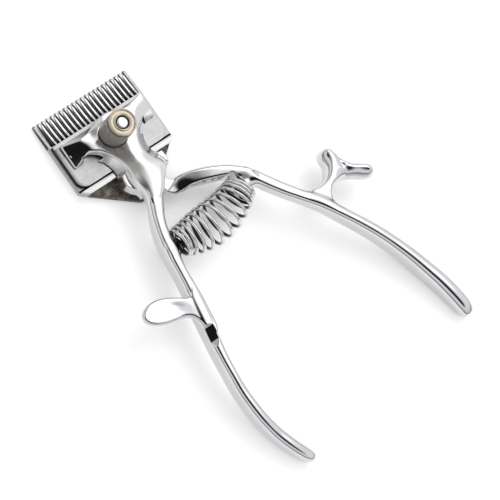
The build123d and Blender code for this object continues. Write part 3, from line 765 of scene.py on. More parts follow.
TOP_Z = [
    (9.0, -4.3, 7.7), (7.0, -4.6, 7.6), (4.7, -5.7, 7.4), (1.7, -6.9, 7.3), (-1.9, -7.5, 7.3), (-5.2, -6.8, 7.4),
    (-9.6, -5.3, 7.5), (-12.5, -5.2, 7.75), (5.4, 0.0, 8.5), (3.8, -3.8, 8.35), (0.0, -5.4, 8.3), (-3.8, -3.8, 8.35),
    (-5.4, 0.0, 8.5), (0.0, 5.4, 9.0), (3.8, 3.8, 8.7), (-3.8, 3.8, 8.8), (8.5, -1.5, 8.2), (10.7, 0.2, 7.95),
    (10.9, -3.8, 7.85), (-9.0, -1.5, 8.15), (-11.5, -1.5, 7.8), (-13.3, 0.7, 6.75), (-13.3, -4.0, 7.65),
    (14.0, -3.0, 7.4), (14.0, 1.5, 7.4), (17.3, -5.5, 6.8), (17.3, 3.2, 6.8), (-15.5, -2.5, 7.05), (-17.7, -6.5, 7.3),
    (-17.8, 2.0, 5.9), (-15.5, 1.5, 6.3), (7.3, 2.5, 8.3), (4.9, 5.9, 8.75), (3.9, 9.7, 9.7), (3.6, 12.9, 10.6),
    (4.1, 16.5, 11.4), (4.0, 19.6, 12.0), (3.8, 23.2, 12.3), (-0.6, 8.0, 9.9), (-0.9, 11.0, 11.0), (-1.6, 14.5, 12.1),
    (-2.0, 18.0, 12.8), (-0.8, 22.0, 13.0), (0.6, 26.0, 13.0), (-8.8, 2.8, 8.3), (-6.9, 5.1, 8.7), (-5.8, 7.4, 9.3),
    (-5.0, 10.2, 10.3), (-5.2, 12.5, 10.8), (-6.2, 15.0, 11.4), (-7.5, 17.1, 11.7), (-8.4, 19.0, 11.7),
    (-4.2, 23.2, 12.3), (-1.5, 25.6, 12.5),
]
plan_top = Plan(TOP_EDGE, smooth=0.30)
plan_low = Plan(LOW_EDGE, smooth=0.35)
WING_TILT = math.tan(math.radians(17.5))


def crease(X, Y, z):
    wing = 7.75 - WING_TILT * (X - 10.6) - 0.06 * Y + 3.0 * np.maximum(Y - 4.2, 0)
    return smin(z, wing, 0.18)


top_z = Height(TOP_Z, (-20, -10), (20, 34), step=0.2, shape=crease)
plan_thumb = Plan([
    (8.3, 54.6), (10.6, 58.2), (13.0, 59.9), (16.0, 58.0), (19.9, 55.7), (23.2, 54.6), (26.3, 54.5), (28.8, 55.3), (30.3, 57.0),
    (30.4, 58.7), (29.4, 60.5), (27.3, 62.1), (24.4, 63.3), (20.6, 64.2), (17.8, 65.0), (16.0, 66.2), (14.9, 68.4),
    (14.4, 71.6), (13.2, 75.5), (10.6, 74.6), (9.0, 67.0), (8.2, 60.5)], smooth=0.5, curve=4)
plan_legs = [Plan([(3.7, 13.2), (6.5, 13.0), (7.4, 15.4), (7.6, 17.9), (5.8, 20.6), (4.4, 21.6), (3.9, 20.6)], smooth=0.25),
             Plan([(-8.0, 13.2), (-11.6, 13.2), (-12.0, 16.8), (-10.8, 19.6), (-8.0, 19.8)], smooth=0.25)]
plan_room = Plan([(-8.2, -3.0), (-6.0, -8.6), (-2.6, -9.4), (2.6, -9.4), (6.0, -8.6), (8.2, -3.0), (8.0, 1.0), (3.7, 12.0),
                  (3.7, 21.0), (4.4, 31.0), (-20.0, 31.0), (-20.0, 19.9), (-7.9, 19.9), (-7.9, 12.5), (-8.0, 1.0)], smooth=0.15)
plan_wing_l = Plan([(13.4, -12), (25, -12), (25, 12), (13.4, 12)], smooth=0.2)
plan_wing_r = Plan([(-13.4, -12), (-25, -12), (-25, 12), (-13.4, 12)], smooth=0.2)


def seat_cut(P, at, away, r, flat=0.0):
    """A round flat seat: everything on the coil side of the plane, within r of its axis."""
    d = P - at
    along = d @ away
    rad = np.linalg.norm(d - along[:, None] * away, axis=1)
    return smax(-(along - flat), rad - r, 1.6)


def boss(P, at, away, r, depth):
    """A short round boss behind a seat."""
    d = P - at
    along = d @ away
    rad = np.linalg.norm(d - along[:, None] * away, axis=1)
    return smax(smax(along, -along - depth, 0.5), rad - r, 0.5)


def fixed_sdf(P):
    x, y, z = P[:, 0], P[:, 1], P[:, 2]
    d = np.full(len(P), 50.0)
    m = y < 36
    if m.any():
        X, Y, Z, Q = x[m], y[m], z[m], P[m]
        zt = top_z(X, Y)
        dT, dB = plan_top(X, Y), plan_low(X, Y)
        s = np.clip((Z - 4.75) / np.maximum(zt - 4.75, 0.5), -0.4, 1.15)
        side = ((1 - s) * dB + s * dT) * 0.86
        body = smax(side, (Z - zt) * 0.93, 0.42)
        # underside: open under the middle, low at the flanks and wings
        body = smax(body, 4.9 - Z, 0.25)
        wing = np.minimum(plan_wing_l(X, Y), plan_wing_r(X, Y))
        body = smax(body, smin(smin(6.7 - Z, wing, 0.3), 5.2 - Y, 0.3), 0.2)
        back = smax(body, Y - 26.5, 1.5)
        g = grip_f.sdf(Q)
        b = smin(back, g, 1.3)
        for leg in plan_legs:
            L = smax(leg(X, Y) + 0.10 * (Z - 2.4), smax(2.42 - Z, Z - 9.0, 0.3), 0.25)
            b = smin(b, L, 1.0)
        # room for the lever, bolt hole and the spot face under the nut
        room = smax(plan_room(X, Y), Z - 6.7, 0.3)
        b = smax(b, -room, 0.25)
        r = np.hypot(X, Y)
        b = smax(b, -smax(r - 5.25, 8.4 - Z, 0.15), 0.12)
        b = smax(b, -(r - 2.08), 0.10)
        d[m] = b
    m = ~m
    if m.any():
        d[m] = grip_f.sdf(P[m])
    m = (y > 48) & (y < 80)
    if m.any():
        X, Y, Z = x[m], y[m], z[m]
        o = plan_thumb(X, Y)
        # level with the top of the grip at the root, leaning and dished further out, inside a rounded rim
        out = np.clip((X - 12.0) / 8.0, 0, 1)
        out = out * out * (3 - 2 * out)
        zt = 13.42 - 0.34 * out + 0.04 * (58.0 - Y) * out
        zb = zt - 3.3 + 0.5 * out
        rr = 1.25
        half, mid = (zt - zb) / 2, (zt + zb) / 2
        qa = o + rr
        qb = np.abs(Z - mid) - (half - rr)
        t = np.minimum(np.maximum(qa, qb), 0) + np.hypot(np.maximum(qa, 0), np.maximum(qb, 0)) - rr
        inner = np.clip((-o - 0.35) / 3.0, 0, 1)
        dish = inner * inner * (3 - 2 * inner)
        t = smax(t, (Z - (zt - 0.22 * dish * out)) * 0.95, 0.15)
        d[m] = smin(d[m], t, 0.6)
        # ground flat behind the thumb rest, leaning outward
        edge = X - 11.3 - 0.03 * (Y - 72.0)
        flat = 13.46 - 0.03 * (Y - 72.0) - 0.33 * edge + 0.9 * np.maximum(71.8 - Y, 0) + 0.40 * np.maximum(Y - 76.8, 0)
        d[m] = smax(d[m], (Z - flat) * 0.95, 0.12)
    m = (y > 34) & (y < 54)
    if m.any():
        Q = P[m]
        b = smin(d[m], boss(Q, COIL_A + COIL_DIR * 0.0, COIL_DIR, 3.1, 4.2), 2.2)
        d[m] = smax(b, -seat_cut(Q, COIL_A - COIL_DIR * 0.05, COIL_DIR, 6.2), 0.4)
    return d


# ---------------------------------------------------------------------------
# moving handle: eye, drive finger, arm, grip, two-pronged rest
# ---------------------------------------------------------------------------
grip_m = Sweep(MOVING, corner=0.50, crown_top=((24, 0.15), (34, 0.45), (50, 0.50), (72, 0.95), (125, 1.20)), crown_side=0.28, end_k=1.8)
plan_lever = Plan([
    (-2.2, -7.0), (2.2, -7.0), (4.6, -2.6), (5.5, 0.0), (4.4, 2.4), (1.2, 8.0), (-1.6, 15.0), (-3.2, 20.0), (-3.6, 25.6),
    (-7.8, 29.0), (-9.4, 26.0), (-7.4, 22.0), (-6.6, 18.0), (-5.6, 12.0), (-5.2, 4.0), (-5.5, 0.0), (-4.6, -2.6)], smooth=0.3)
plan_rest = Plan([
    (-44.6, 53.6), (-47.4, 53.6), (-50.5, 54.5), (-53.6, 54.1), (-56.0, 52.4), (-57.9, 49.9), (-58.0, 47.2), (-58.9, 45.3),
    (-60.6, 44.5), (-62.7, 45.3), (-63.9, 47.4), (-64.5, 50.0), (-65.5, 52.4), (-67.2, 54.4), (-69.9, 56.1), (-71.9, 57.5),
    (-72.9, 59.3), (-72.6, 61.4), (-70.7, 62.1), (-68.4, 61.1), (-65.5, 59.0), (-62.0, 57.2), (-58.6, 56.6), (-56.0, 56.8),
    (-54.1, 58.2), (-53.0, 60.4), (-52.6, 62.6), (-51.6, 65.0), (-48.8, 61.8)], smooth=0.35, curve=4)
plan_notch = Plan([
    (-59.0, 36.0), (-59.6, 42.0), (-60.9, 44.2), (-62.8, 45.0), (-63.9, 47.2), (-64.5, 50.0), (-65.5, 52.4), (-67.2, 54.4),
    (-69.9, 56.3), (-72.4, 57.8), (-74.4, 60.6), (-80.0, 66.0), (-90.0, 60.0), (-80.0, 36.0)], smooth=0.3, pad=16.0)


def ridge(points):
    """Distance in plan from a smooth line through the points."""
    c = catmull(np.c_[np.asarray(points, float), np.zeros(len(points))], 6)[:, :2]

    def at(X, Y):
        best = np.full(X.shape, 1e9)
        for a, b in zip(c[:-1], c[1:]):
            e = b - a
            t = np.clip(((X - a[0]) * e[0] + (Y - a[1]) * e[1]) / (e @ e), 0, 1)
            best = np.minimum(best, (X - a[0] - t * e[0]) ** 2 + (Y - a[1] - t * e[1]) ** 2)
        return np.sqrt(best)

    return at


ridge_a = ridge([(-44.0, 58.4), (-49.0, 57.6), (-53.2, 56.0), (-56.8, 54.4), (-59.6, 52.0), (-61.3, 49.0), (-61.6, 46.4)])
ridge_b = ridge([(-60.4, 52.4), (-63.9, 52.8), (-66.5, 54.9), (-69.2, 56.7), (-71.4, 58.5)])


def moving_sdf(P):
    x, y, z = P[:, 0], P[:, 1], P[:, 2]
    d = grip_m.sdf(P)
    m = y < 32
    if m.any():
        X, Y, Z = x[m], y[m], z[m]
        plate = smax(plan_lever(X, Y), np.abs(Z - 5.625) - 0.875, 0.2)
        b = smin(d[m], plate, 0.6)
        r = np.hypot(X, Y)
        b = smax(b, -(r - 2.65), 0.08)
        b = smax(b, -(np.hypot(X, Y + 5.5) - 1.1), 0.06)
        d[m] = b
    m = (x < -42) & (y > 40) & (y < 74)
    if m.any():
        X, Y, Z = x[m], y[m], z[m]
        o = plan_rest(X, Y)
        p = (X + 50.0) * -0.87 + (Y - 56.6) * -0.5
        u = np.clip((p - 2.5) / 7.0, 0, 1)
        u = u * u * (3 - 2 * u)
        # the top rolls away from a ridge along each prong; the ridges meet at the stem
        tip_b = np.clip((-62.0 - X) / 8.0, 0, 1)
        tip_a = np.clip((51.0 - Y) / 5.0, 0, 1)
        da, db = ridge_a(X, Y), ridge_b(X, Y)
        ra = (0.10 + 0.10 * tip_a) * da**2
        rb = (0.125 + 0.075 * tip_b) * db**2
        ha = 12.85 - 0.25 * tip_a - ra / (1 + 0.07 * ra)
        hb = 12.75 - 0.20 * tip_b - rb / (1 + 0.07 * rb)
        zt = smax(ha, hb, 0.25) - 0.50 * np.exp(-((X + 62.9) ** 2 + (Y - 52.6) ** 2) / 0.9)
        zt = 12.85 - (0.25 + 0.75 * u) * (12.85 - zt)
        zb = 8.0 - 2.8 * u
        rr = 1.3 + 0.5 * u
        half = (zt - zb) / 2
        mid = (zt + zb) / 2
        qa = o + rr
        qb = np.abs(Z - mid) - (half - rr)
        t = np.minimum(np.maximum(qa, qb), 0) + np.hypot(np.maximum(qa, 0), np.maximum(qb, 0)) - rr
        t = t * 0.82
        d[m] = smin(d[m], t, 1.5)
    m = (y > 28) & (y < 52) & (x > -48)
    if m.any():
        Q = P[m]
        b = smin(d[m], boss(Q, COIL_B, -COIL_DIR, 3.1, 4.2), 2.2)
        d[m] = smax(b, -seat_cut(Q, COIL_B + COIL_DIR * 0.05, -COIL_DIR, 6.2), 0.4)
    # clearance to the fixed handle over the squeeze
    m = (x > -26) & (x < 3) & (y > 6) & (y < 40) & (z > 3.4) & (d < 3.0)
    if m.any():
        Q = P[m]
        for turn in (19.2, 14.0, 9.0):
            c, q = math.cos(math.radians(turn)), math.sin(math.radians(turn))
            R = np.stack([Q[:, 0] * c + Q[:, 1] * q, Q[:, 1] * c - Q[:, 0] * q, Q[:, 2]], 1)
            d[m] = smax(d[m], 0.22 - fixed_sdf(R), 0.2)
    return d


H = 0.25
fixed_casting = casting("fixed_casting", fixed_sdf, (-19, -10, -1), (32, 132, 15), M_SADDLE, H)
place(fixed_casting, "clipper_frame", "chrome_plate", "fixed_handle")
moving_casting = casting("moving_casting", moving_sdf, (-80, -9, -1), (7, 126, 15), M_CHROME, H)
place(moving_casting, "lever", "chrome_plate", "moving_handle")

# ---------------------------------------------------------------------------
# blades: blocks on an uneven grid, so that every tooth is its own clean prism
# ---------------------------------------------------------------------------


def grid_solid(name, xs, ys, zs, full, move, mats, pick):
    """Quads around the filled cells of an uneven grid; move() puts each grid corner in place, in mm."""
    nx, ny, nz = len(xs) - 1, len(ys) - 1, len(zs) - 1
    fill = np.zeros((nx, ny, nz), bool)
    for i in range(nx):
        for j in range(ny):
            for k in range(nz):
                fill[i, j, k] = full((xs[i] + xs[i + 1]) / 2, (ys[j] + ys[j + 1]) / 2, (zs[k] + zs[k + 1]) / 2)
    verts, index, faces, fm = [], {}, [], []

    def vid(i, j, k):
        if (i, j, k) not in index:
            index[i, j, k] = len(verts)
            verts.append(move(xs[i], ys[j], zs[k]))
        return index[i, j, k]

    def cell(i, j, k):
        return 0 <= i < nx and 0 <= j < ny and 0 <= k < nz and fill[i, j, k]

    sides = [
        ((1, 0, 0), [(1, 0, 0), (1, 1, 0), (1, 1, 1), (1, 0, 1)]), ((-1, 0, 0), [(0, 0, 0), (0, 0, 1), (0, 1, 1), (0, 1, 0)]),
        ((0, 1, 0), [(0, 1, 0), (0, 1, 1), (1, 1, 1), (1, 1, 0)]), ((0, -1, 0), [(0, 0, 0), (1, 0, 0), (1, 0, 1), (0, 0, 1)]),
        ((0, 0, 1), [(0, 0, 1), (1, 0, 1), (1, 1, 1), (0, 1, 1)]), ((0, 0, -1), [(0, 0, 0), (0, 1, 0), (1, 1, 0), (1, 0, 0)]),
    ]
    for i in range(nx):
        for j in range(ny):
            for k in range(nz):
                if not fill[i, j, k]:
                    continue
                for nrm, corner in sides:
                    if cell(i + nrm[0], j + nrm[1], k + nrm[2]):
                        continue
                    q = [vid(i + a, j + b, k + c) for a, b, c in corner]
                    faces.append(q)
                    c = np.mean([verts[a] for a in q], axis=0)
                    fm.append(pick(nrm, c))
    return mesh_object(name, verts, faces, mats, fm, smooth=False)


def apply_modifiers(o):
    dg = bpy.context.evaluated_depsgraph_get()
    me = bpy.data.meshes.new_from_object(o.evaluated_get(dg))
    o.modifiers.clear()
    old = o.data
    o.data = me
    bpy.data.meshes.remove(old)


def carve(o, tools):
    """Cuts the tool meshes out of o."""
    for t in tools:
        md = o.modifiers.new("cut", "BOOLEAN")
        md.operation, md.solver, md.object = "DIFFERENCE", "EXACT", t
    bpy.context.view_layer.update()
    apply_modifiers(o)
    for t in tools:
        me = t.data
        bpy.data.objects.remove(t)
        bpy.data.meshes.remove(me)


def soften(o, width=0.08, angle=38, segments=2):
    md = o.modifiers.new("edges", "BEVEL")
    md.width = width * MM
    md.segments = segments
    md.limit_method = "ANGLE"
    md.angle_limit = math.radians(angle)
    md.use_clamp_overlap = True
    md.harden_normals = False
    apply_modifiers(o)
    o.data.polygons.foreach_set("use_smooth", [True] * len(o.data.polygons))
    sharpen(o, 50)


PITCH, GAP = 1.84, 0.88
gap_x = [(i - 10) * PITCH for i in range(21)]
tooth_x = [(i - 9.5) * PITCH for i in range(20)]


def profile(y, table):
    return float(np.interp(y, [a for a, b in table], [b for a, b in table]))


COMB_TOP = [(-17.0, 0.55), (-16.6, 0.95), (-15.8, 1.20), (-14.0, 1.48), (-12.0, 1.75), (-10.0, 2.05), (-7.6, 2.40), (30.0, 2.40)]


def comb_half(y):
    return float(np.interp(y, [-20, 10.8, 12.9, 24.6], [20.0, 20.0, 17.6, 2.6]))


def comb_move(x, y, z):
    # teeth narrow toward rounded points
    if y < -7.6:
        near = min(gap_x, key=lambda g: abs(abs(x - g) - GAP / 2))
        if abs(abs(x - near) - GAP / 2) < 1e-6:
            open_up = np.interp(y, [-17.0, -16.6, -15.8, -14.0, -12.0, -10.0, -8.4, -7.95, -7.6], [0.24, 0.12, 0.05, 0.05, 0.06, 0.05, -0.02, -0.10, -0.26])
            x = x + math.copysign(open_up, x - near)
        elif abs(abs(x) - 20.0) < 1e-6:
            x = math.copysign(20.0 - np.interp(y, [-17.0, -16.6, -15.8, -13.0], [0.42, 0.18, 0.04, 0.0]), x)
    else:
        x = x * comb_half(y) / 20.0
        if z > 3.0 and y > 12.0:
            y = y
    top = profile(y, COMB_TOP)
    if z > 3.0:
        return (x, y, 4.2)
    return (x, y, 0.0 if z < 0.1 else (top if z > 2.0 else 0.5 * top))


xs = sorted({-20.0, 20.0, *[g - GAP / 2 for g in gap_x], *[g + GAP / 2 for g in gap_x]})
ys = [-17.0, -16.6, -15.8, -14.0, -12.0, -10.0, -8.4, -7.95, -7.6, -2.0, 4.0, 10.0, 10.9, 12.9, 15.0, 18.0, 21.0, 24.6]


def comb_full(x, y, z):
    if z > 2.4:
        return 10.9 < y < 12.9
    if y < -7.6:
        return all(abs(x - g) > GAP / 2 for g in gap_x)
    return True


def comb_pick(nrm, c):
    # index 1 is painted shade: the tooth side walls and the root faces of the gaps get the near-black wall material
    if c[1] < -7.3 and (abs(nrm[0]) > 0.5 or (nrm[1] < -0.5 and c[1] > -8.0)):
        return 1
    if c[1] > 12.95 and c[2] > 0.1 and nrm[1] < 0.5:
        return 2
    if c[1] < -7.6 and abs(c[0]) < 18.8:
        return 3
    if 10.9 < c[1] < 12.9 and nrm[2] > 0.5:
        return 4
    # painted shade: the strip of comb top in front of the rail and the rail's front wall get the near-black wall
    # material
    if 10.0 < c[1] < 10.95 and c[2] > 0.1 and abs(nrm[0]) < 0.5:
        return 1
    return 0


comb = grid_solid("comb_body", xs, ys, [0.0, 2.4, 4.2], comb_full, comb_move, [M_BLADE, M_WALL_SHADE, M_CAST, M_TOOTH, M_RAIL], comb_pick)
cuts = [lathe("t0", [(0, -1), (5.05, -1), (4.05, 0), (2.05, 2.0), (2.05, 5), (0, 5)], 96, M_BRIGHT)]
for k, (sx, sy) in enumerate([(5.3, 15.6), (-9.7, 15.2)]):
    cuts.append(lathe(f"t{k + 1}", [(0, -1), (2.7, -1), (1.7, 0), (0.85, 0.85), (0.85, 5), (0, 5)], 48, M_BRIGHT, centre=(sx, sy)))
for t in cuts:
    fix_normals(t)
carve(comb, cuts)
soften(comb, 0.05)
place(comb, "clipper_frame", "blade_steel", "comb_blade")

# cutter: front band, shallow relief behind it, hollow-ground teeth
CUT_TOP = [(-15.7, 2.62), (-15.4, 2.80), (-14.6, 2.88), (-13.0, 3.03), (-11.5, 3.25), (-10.2, 3.50), (-9.2, 3.76),
           (-8.2, 4.10), (-7.4, 4.40), (30.0, 4.40)]
CX0, CX1 = -18.65, 19.35


def cutter_corner(y):
    """How far the rear corners have rounded in at y."""
    r, rear = 3.4, 10.3
    t = y - (rear - r)
    return 0.0 if t <= 0 else r - math.sqrt(max(r * r - t * t, 0.0))


def cutter_move(x, y, z):
    if y < -7.15:
        near = min(tooth_x, key=lambda g: abs(abs(x - g) - 0.42))
        if abs(abs(x - near) - 0.42) < 1e-6:
            slim = np.interp(y, [-15.7, -15.4, -14.6, -13.0, -11.5, -10.2, -9.2, -8.2, -7.5, -7.2], [0.22, 0.10, 0.04, 0.05, 0.06, 0.05, 0.03, -0.03, -0.12, -0.30])
            x = x - math.copysign(slim, x - near)
    cin = cutter_corner(y)
    if cin > 0:
        mid = (CX0 + CX1) / 2
        x = mid + (x - mid) * (1 - cin / ((CX1 - CX0) / 2))
    top = profile(y, CUT_TOP)
    if z < 2.5:
        return (x, y, 2.42)
    return (x, y, top if z > 4.3 else (top - 0.22 if y > -7.0 else top))


cxs = sorted({CX0, CX1, *[round(t - 0.42, 6) for t in tooth_x], *[round(t + 0.42, 6) for t in tooth_x]})
cys = [-15.7, -15.4, -14.6, -13.0, -11.5, -10.2, -9.2, -8.2, -7.5, -7.2, -6.1, -5.9, -2.0, 2.0, 6.0, 6.9, 7.9, 8.8, 9.5, 10.0, 10.22, 10.3]


def cutter_full(x, y, z):
    if y < -7.2:
        return z < 4.3 and any(abs(x - t) < 0.42 for t in tooth_x)
    if z > 4.25:
        return not (-6.0 < y < -2.0)
    return True


def cutter_move2(x, y, z):
    p = cutter_move(x, y, 4.40 if z > 4.3 else (4.25 if z > 2.5 else z))
    if z > 4.3:
        return (p[0], p[1], profile(y, CUT_TOP))
    if z > 2.5:
        return (p[0], p[1], profile(y, CUT_TOP) if y < -7.15 else 4.20)
    return p


def cutter_pick(nrm, c):
    # index 1 is painted shade: tooth side walls, tooth root faces, the cutter's side walls and its rear wall get the
    # near-black wall material
    if c[1] < -7.15 and (abs(nrm[0]) > 0.5 or (nrm[1] < -0.5 and c[1] > -7.6)):
        return 1
    if abs(nrm[0]) > 0.5 or nrm[1] > 0.5:
        return 1
    if nrm[2] > 0.5 and c[1] < -9.2:
        return 3
    if c[1] < -6.0 and nrm[2] > 0.5:
        return 2
    return 0


cutter = grid_solid("cutter_body", cxs, cys, [2.42, 4.25, 4.40], cutter_full, cutter_move2, [M_BLADE, M_WALL_SHADE, M_BAND, M_TOOTH], cutter_pick)


def prism(name, outline, z0, z1, mats):
    pts = np.asarray(outline, float)
    n = len(pts)
    v = [(x, y, z0) for x, y in pts] + [(x, y, z1) for x, y in pts]
    f = [list(range(n))[::-1], list(range(n, 2 * n))] + [[i, (i + 1) % n, n + (i + 1) % n, n + i] for i in range(n)]
    return mesh_object(name, v, f, mats, smooth=False)


def slot_outline(cx, cy, length, width, n=24):
    r = width / 2
    half = (length - width) / 2
    pts = [(cx + half + r * math.cos(a), cy + r * math.sin(a)) for a in np.linspace(-math.pi / 2, math.pi / 2, n)]
    pts += [(cx - half + r * math.cos(a), cy + r * math.sin(a)) for a in np.linspace(math.pi / 2, 3 * math.pi / 2, n)]
    return pts


tools = [prism("c0", slot_outline(0.95, 0.0, 7.9, 5.6), 1.0, 6.0, M_BLADE),
         prism("c1", [(-1.18, -6.72), (1.18, -6.72), (1.18, -3.92), (-1.18, -3.92)], 1.0, 6.0, M_BLADE)]
for t in tools:
    fix_normals(t)
carve(cutter, tools)
soften(cutter, 0.045)
place(cutter, "cutter", "blade_steel", "cutter_blade")

# ---------------------------------------------------------------------------
# tension nut, cap and bolt
# ---------------------------------------------------------------------------
RIBS, PER = 44, 8
nut_profile = [(2.10, 14.6), (3.75, 14.6), (3.75, 8.45), (4.45, 8.45), (4.72, 8.72)]
knurl_rows = len(nut_profile)
nut_profile += [(4.86, 8.95), (4.86, 11.0), (4.86, 13.5), (4.86, 16.0), (4.86, 18.2), (4.86, 19.35)]
knurl_end = len(nut_profile)
nut_profile += [(4.70, 19.70), (4.42, 19.92), (4.42, 20.30), (2.10, 20.30)]


def knurl(k, i):
    if not knurl_rows <= i < knurl_end:
        return 0.0
    ph = (k % PER) / PER
    return 0.12 - 0.42 * abs(2 * ph - 1) ** 1.4


nut = lathe("knurled_nut", nut_profile, RIBS * PER, M_NUT, close=True, ripple=knurl)
fix_normals(nut)
sharpen(nut, 42)
place(nut, "nut", "nickel_plate", "tension_nut")

cap_profile = [(2.16, 20.32), (4.70, 20.32), (4.82, 20.40), (4.85, 20.55), (4.85, 20.92), (4.80, 21.06), (4.66, 21.17),
               (4.48, 21.20), (4.32, 21.17), (4.22, 21.08), (4.16, 21.00), (3.9, 20.985), (3.3, 20.985), (3.12, 21.00), (3.02, 21.07),
               (2.88, 21.14), (2.72, 21.15), (2.50, 21.08), (2.40, 20.98), (2.34, 20.75), (2.32, 20.55), (2.16, 20.52)]
# painted shade: the last three rows, the bore wall around the bolt, take the near-black recess material
cap = lathe("brass_cap", cap_profile, 144, [M_BRASS, M_RECESS_SHADE], close=True, face_mat=[0] * 19 + [1] * 3)
fix_normals(cap)
sharpen(cap, 55)
place(cap, "nut", "brass", "nut_cap")

bolt_profile = [(0, 0.0), (3.86, 0.0), (3.98, 0.10), (2.06, 2.02), (2.0, 2.2), (2.0, 8.0)]
z = 8.0
while z < 19.4:
    bolt_profile += [(1.98, z + 0.12), (1.80, z + 0.35), (1.98, z + 0.58)]
    z += 0.70
bolt_profile += [(1.98, 20.35), (1.95, 20.62), (1.86, 20.80), (1.68, 20.91), (1.35, 20.965), (0.7, 20.99), (0, 21.0)]
bolt = lathe("pivot_bolt_body", bolt_profile, 96, M_BRIGHT)
fix_normals(bolt)
tools = [prism("b0", [(1.9, -0.45), (3.3, -0.45), (3.3, 0.45), (1.9, 0.45)], -0.5, 0.5, M_BRIGHT),
         prism("b1", [(-3.3, -0.45), (-1.9, -0.45), (-1.9, 0.45), (-3.3, 0.45)], -0.5, 0.5, M_BRIGHT)]
for t in tools:
    fix_normals(t)
carve(bolt, tools)
sharpen(bolt, 40)
place(bolt, "clipper_frame", "bright_steel", "pivot_bolt")

# ---------------------------------------------------------------------------
# handle spring: barrel-shaped open coil with closed ends
# ---------------------------------------------------------------------------
axis_pts = np.array([(4.3, 43.3, 9.4), (2.0, 43.2, 9.4), (-1.0, 43.6, 9.4), (-4.2, 43.9, 9.4), (-8.4, 44.1, 9.4),
                     (-12.5, 43.9, 9.4), (-17.0, 43.1, 9.4), (-21.3, 41.8, 9.4), (-25.2, 40.2, 9.4), (-28.0, 39.0, 9.4)])
ax = catmull(np.c_[axis_pts, np.zeros((len(axis_pts), 2))], 40)[:, :3]
arc = np.concatenate([[0], np.cumsum(np.linalg.norm(np.diff(ax, axis=0), axis=1))])
wire = 0.62
turn_pitch = np.array([1.26, 1.30, 2.2, 2.7, 3.1, 3.6, 3.8, 3.9, 3.6, 2.7, 1.40, 1.26, 1.24])
at_turn = np.concatenate([[0], np.cumsum(turn_pitch)])


def mark_outward(o, count, ring):
    """How far each point of the wire faces away from the coil axis, 0 to 1."""
    att = o.data.attributes.new("outward", "FLOAT", "POINT")
    k = np.arange(len(o.data.vertices))
    att.data.foreach_set("value", np.where(k < count, 0.5 + 0.5 * np.cos(2 * math.pi * (k % ring) / ring), 1.0).astype(np.float32))


at_turn = wire + at_turn * (arc[-1] - 2 * wire) / at_turn[-1]
turns = len(turn_pitch)
rad_at = np.interp
rad_s = np.array([0.0, 2.6, 5.4, 8.6, 12.8, 17.0, 21.5, 26.0, 29.6, 32.8]) / 32.8 * arc[-1]
rad_v = np.array([4.7, 5.35, 6.25, 7.0, 7.55, 7.5, 7.1, 6.5, 5.6, 4.9])
per, ringn = 44, 12
n = turns * per + 1
verts, faces = [], []
cl = np.zeros((n, 3))
frames = []
for i in range(n):
    tt = i / per
    s = np.interp(tt, range(turns + 1), at_turn)
    c = np.array([np.interp(s, arc, ax[:, k]) for k in range(3)])
    c2 = np.array([np.interp(min(s + 0.4, arc[-1]), arc, ax[:, k]) for k in range(3)])
    c1 = np.array([np.interp(max(s - 0.4, 0), arc, ax[:, k]) for k in range(3)])
    d = (c2 - c1) / np.linalg.norm(c2 - c1)
    e1 = np.array((0, 0, 1.0)) - d[2] * d
    e1 /= np.linalg.norm(e1)
    e2 = np.cross(d, e1)
    r = np.interp(s, rad_s, rad_v)
    a = 2 * math.pi * tt + math.radians(200)
    cl[i] = c + r * (math.cos(a) * e1 + math.sin(a) * e2)
tan = np.gradient(cl, axis=0)
tan /= np.linalg.norm(tan, axis=1)[:, None]
for i in range(n):
    s = np.interp(i / per, range(turns + 1), at_turn)
    c = np.array([np.interp(s, arc, ax[:, k]) for k in range(3)])
    u = cl[i] - c
    u -= (u @ tan[i]) * tan[i]
    u /= np.linalg.norm(u)
    v = np.cross(tan[i], u)
    w = wire * (0.75 + 0.25 * min(1.0, i / 6.0, (n - 1 - i) / 6.0))
    for k in range(ringn):
        a = 2 * math.pi * k / ringn
        verts.append(cl[i] + w * (math.cos(a) * u + math.sin(a) * v))
for i in range(n - 1):
    for k in range(ringn):
        l = (k + 1) % ringn
        faces.append([i * ringn + k, i * ringn + l, (i + 1) * ringn + l, (i + 1) * ringn + k])
for end, order in ((0, -1), (n - 1, 1)):
    centre = len(verts)
    verts.append(cl[end] + tan[end] * (0.25 if end else -0.25))
    for k in range(ringn):
        q = [end * ringn + k, end * ringn + (k + 1) % ringn, centre]
        faces.append(q[::order])
spring = mesh_object("handle_coil", verts, faces, M_WIRE)
fix_normals(spring)
# the outward value drives the painted shade on the inner side of the wire
mark_outward(spring, n * ringn, ringn)
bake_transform(spring)
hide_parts("handle_spring")

# ---------------------------------------------------------------------------
# CAD nodes that stay: finish per node
# ---------------------------------------------------------------------------
STAY = {
    "pivot_sleeve": M_BRIGHT, "lever_washer": M_BRIGHT, "yoke_washer": M_BRASS, "pressure_pads": M_BRIGHT,
    "blade_screws": M_BRIGHT, "locating_dowels": M_BRIGHT, "fixed_spring_peg": M_CHROME, "spring_seat": M_BRIGHT,
    "tension_spring": M_WIRE, "drive_pin": M_BRIGHT, "moving_spring_peg": M_CHROME, "thrust_washer": M_BRIGHT,
}
for node, mat in STAY.items():
    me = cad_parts[node].data
    me.materials.clear()
    me.materials.append(mat)

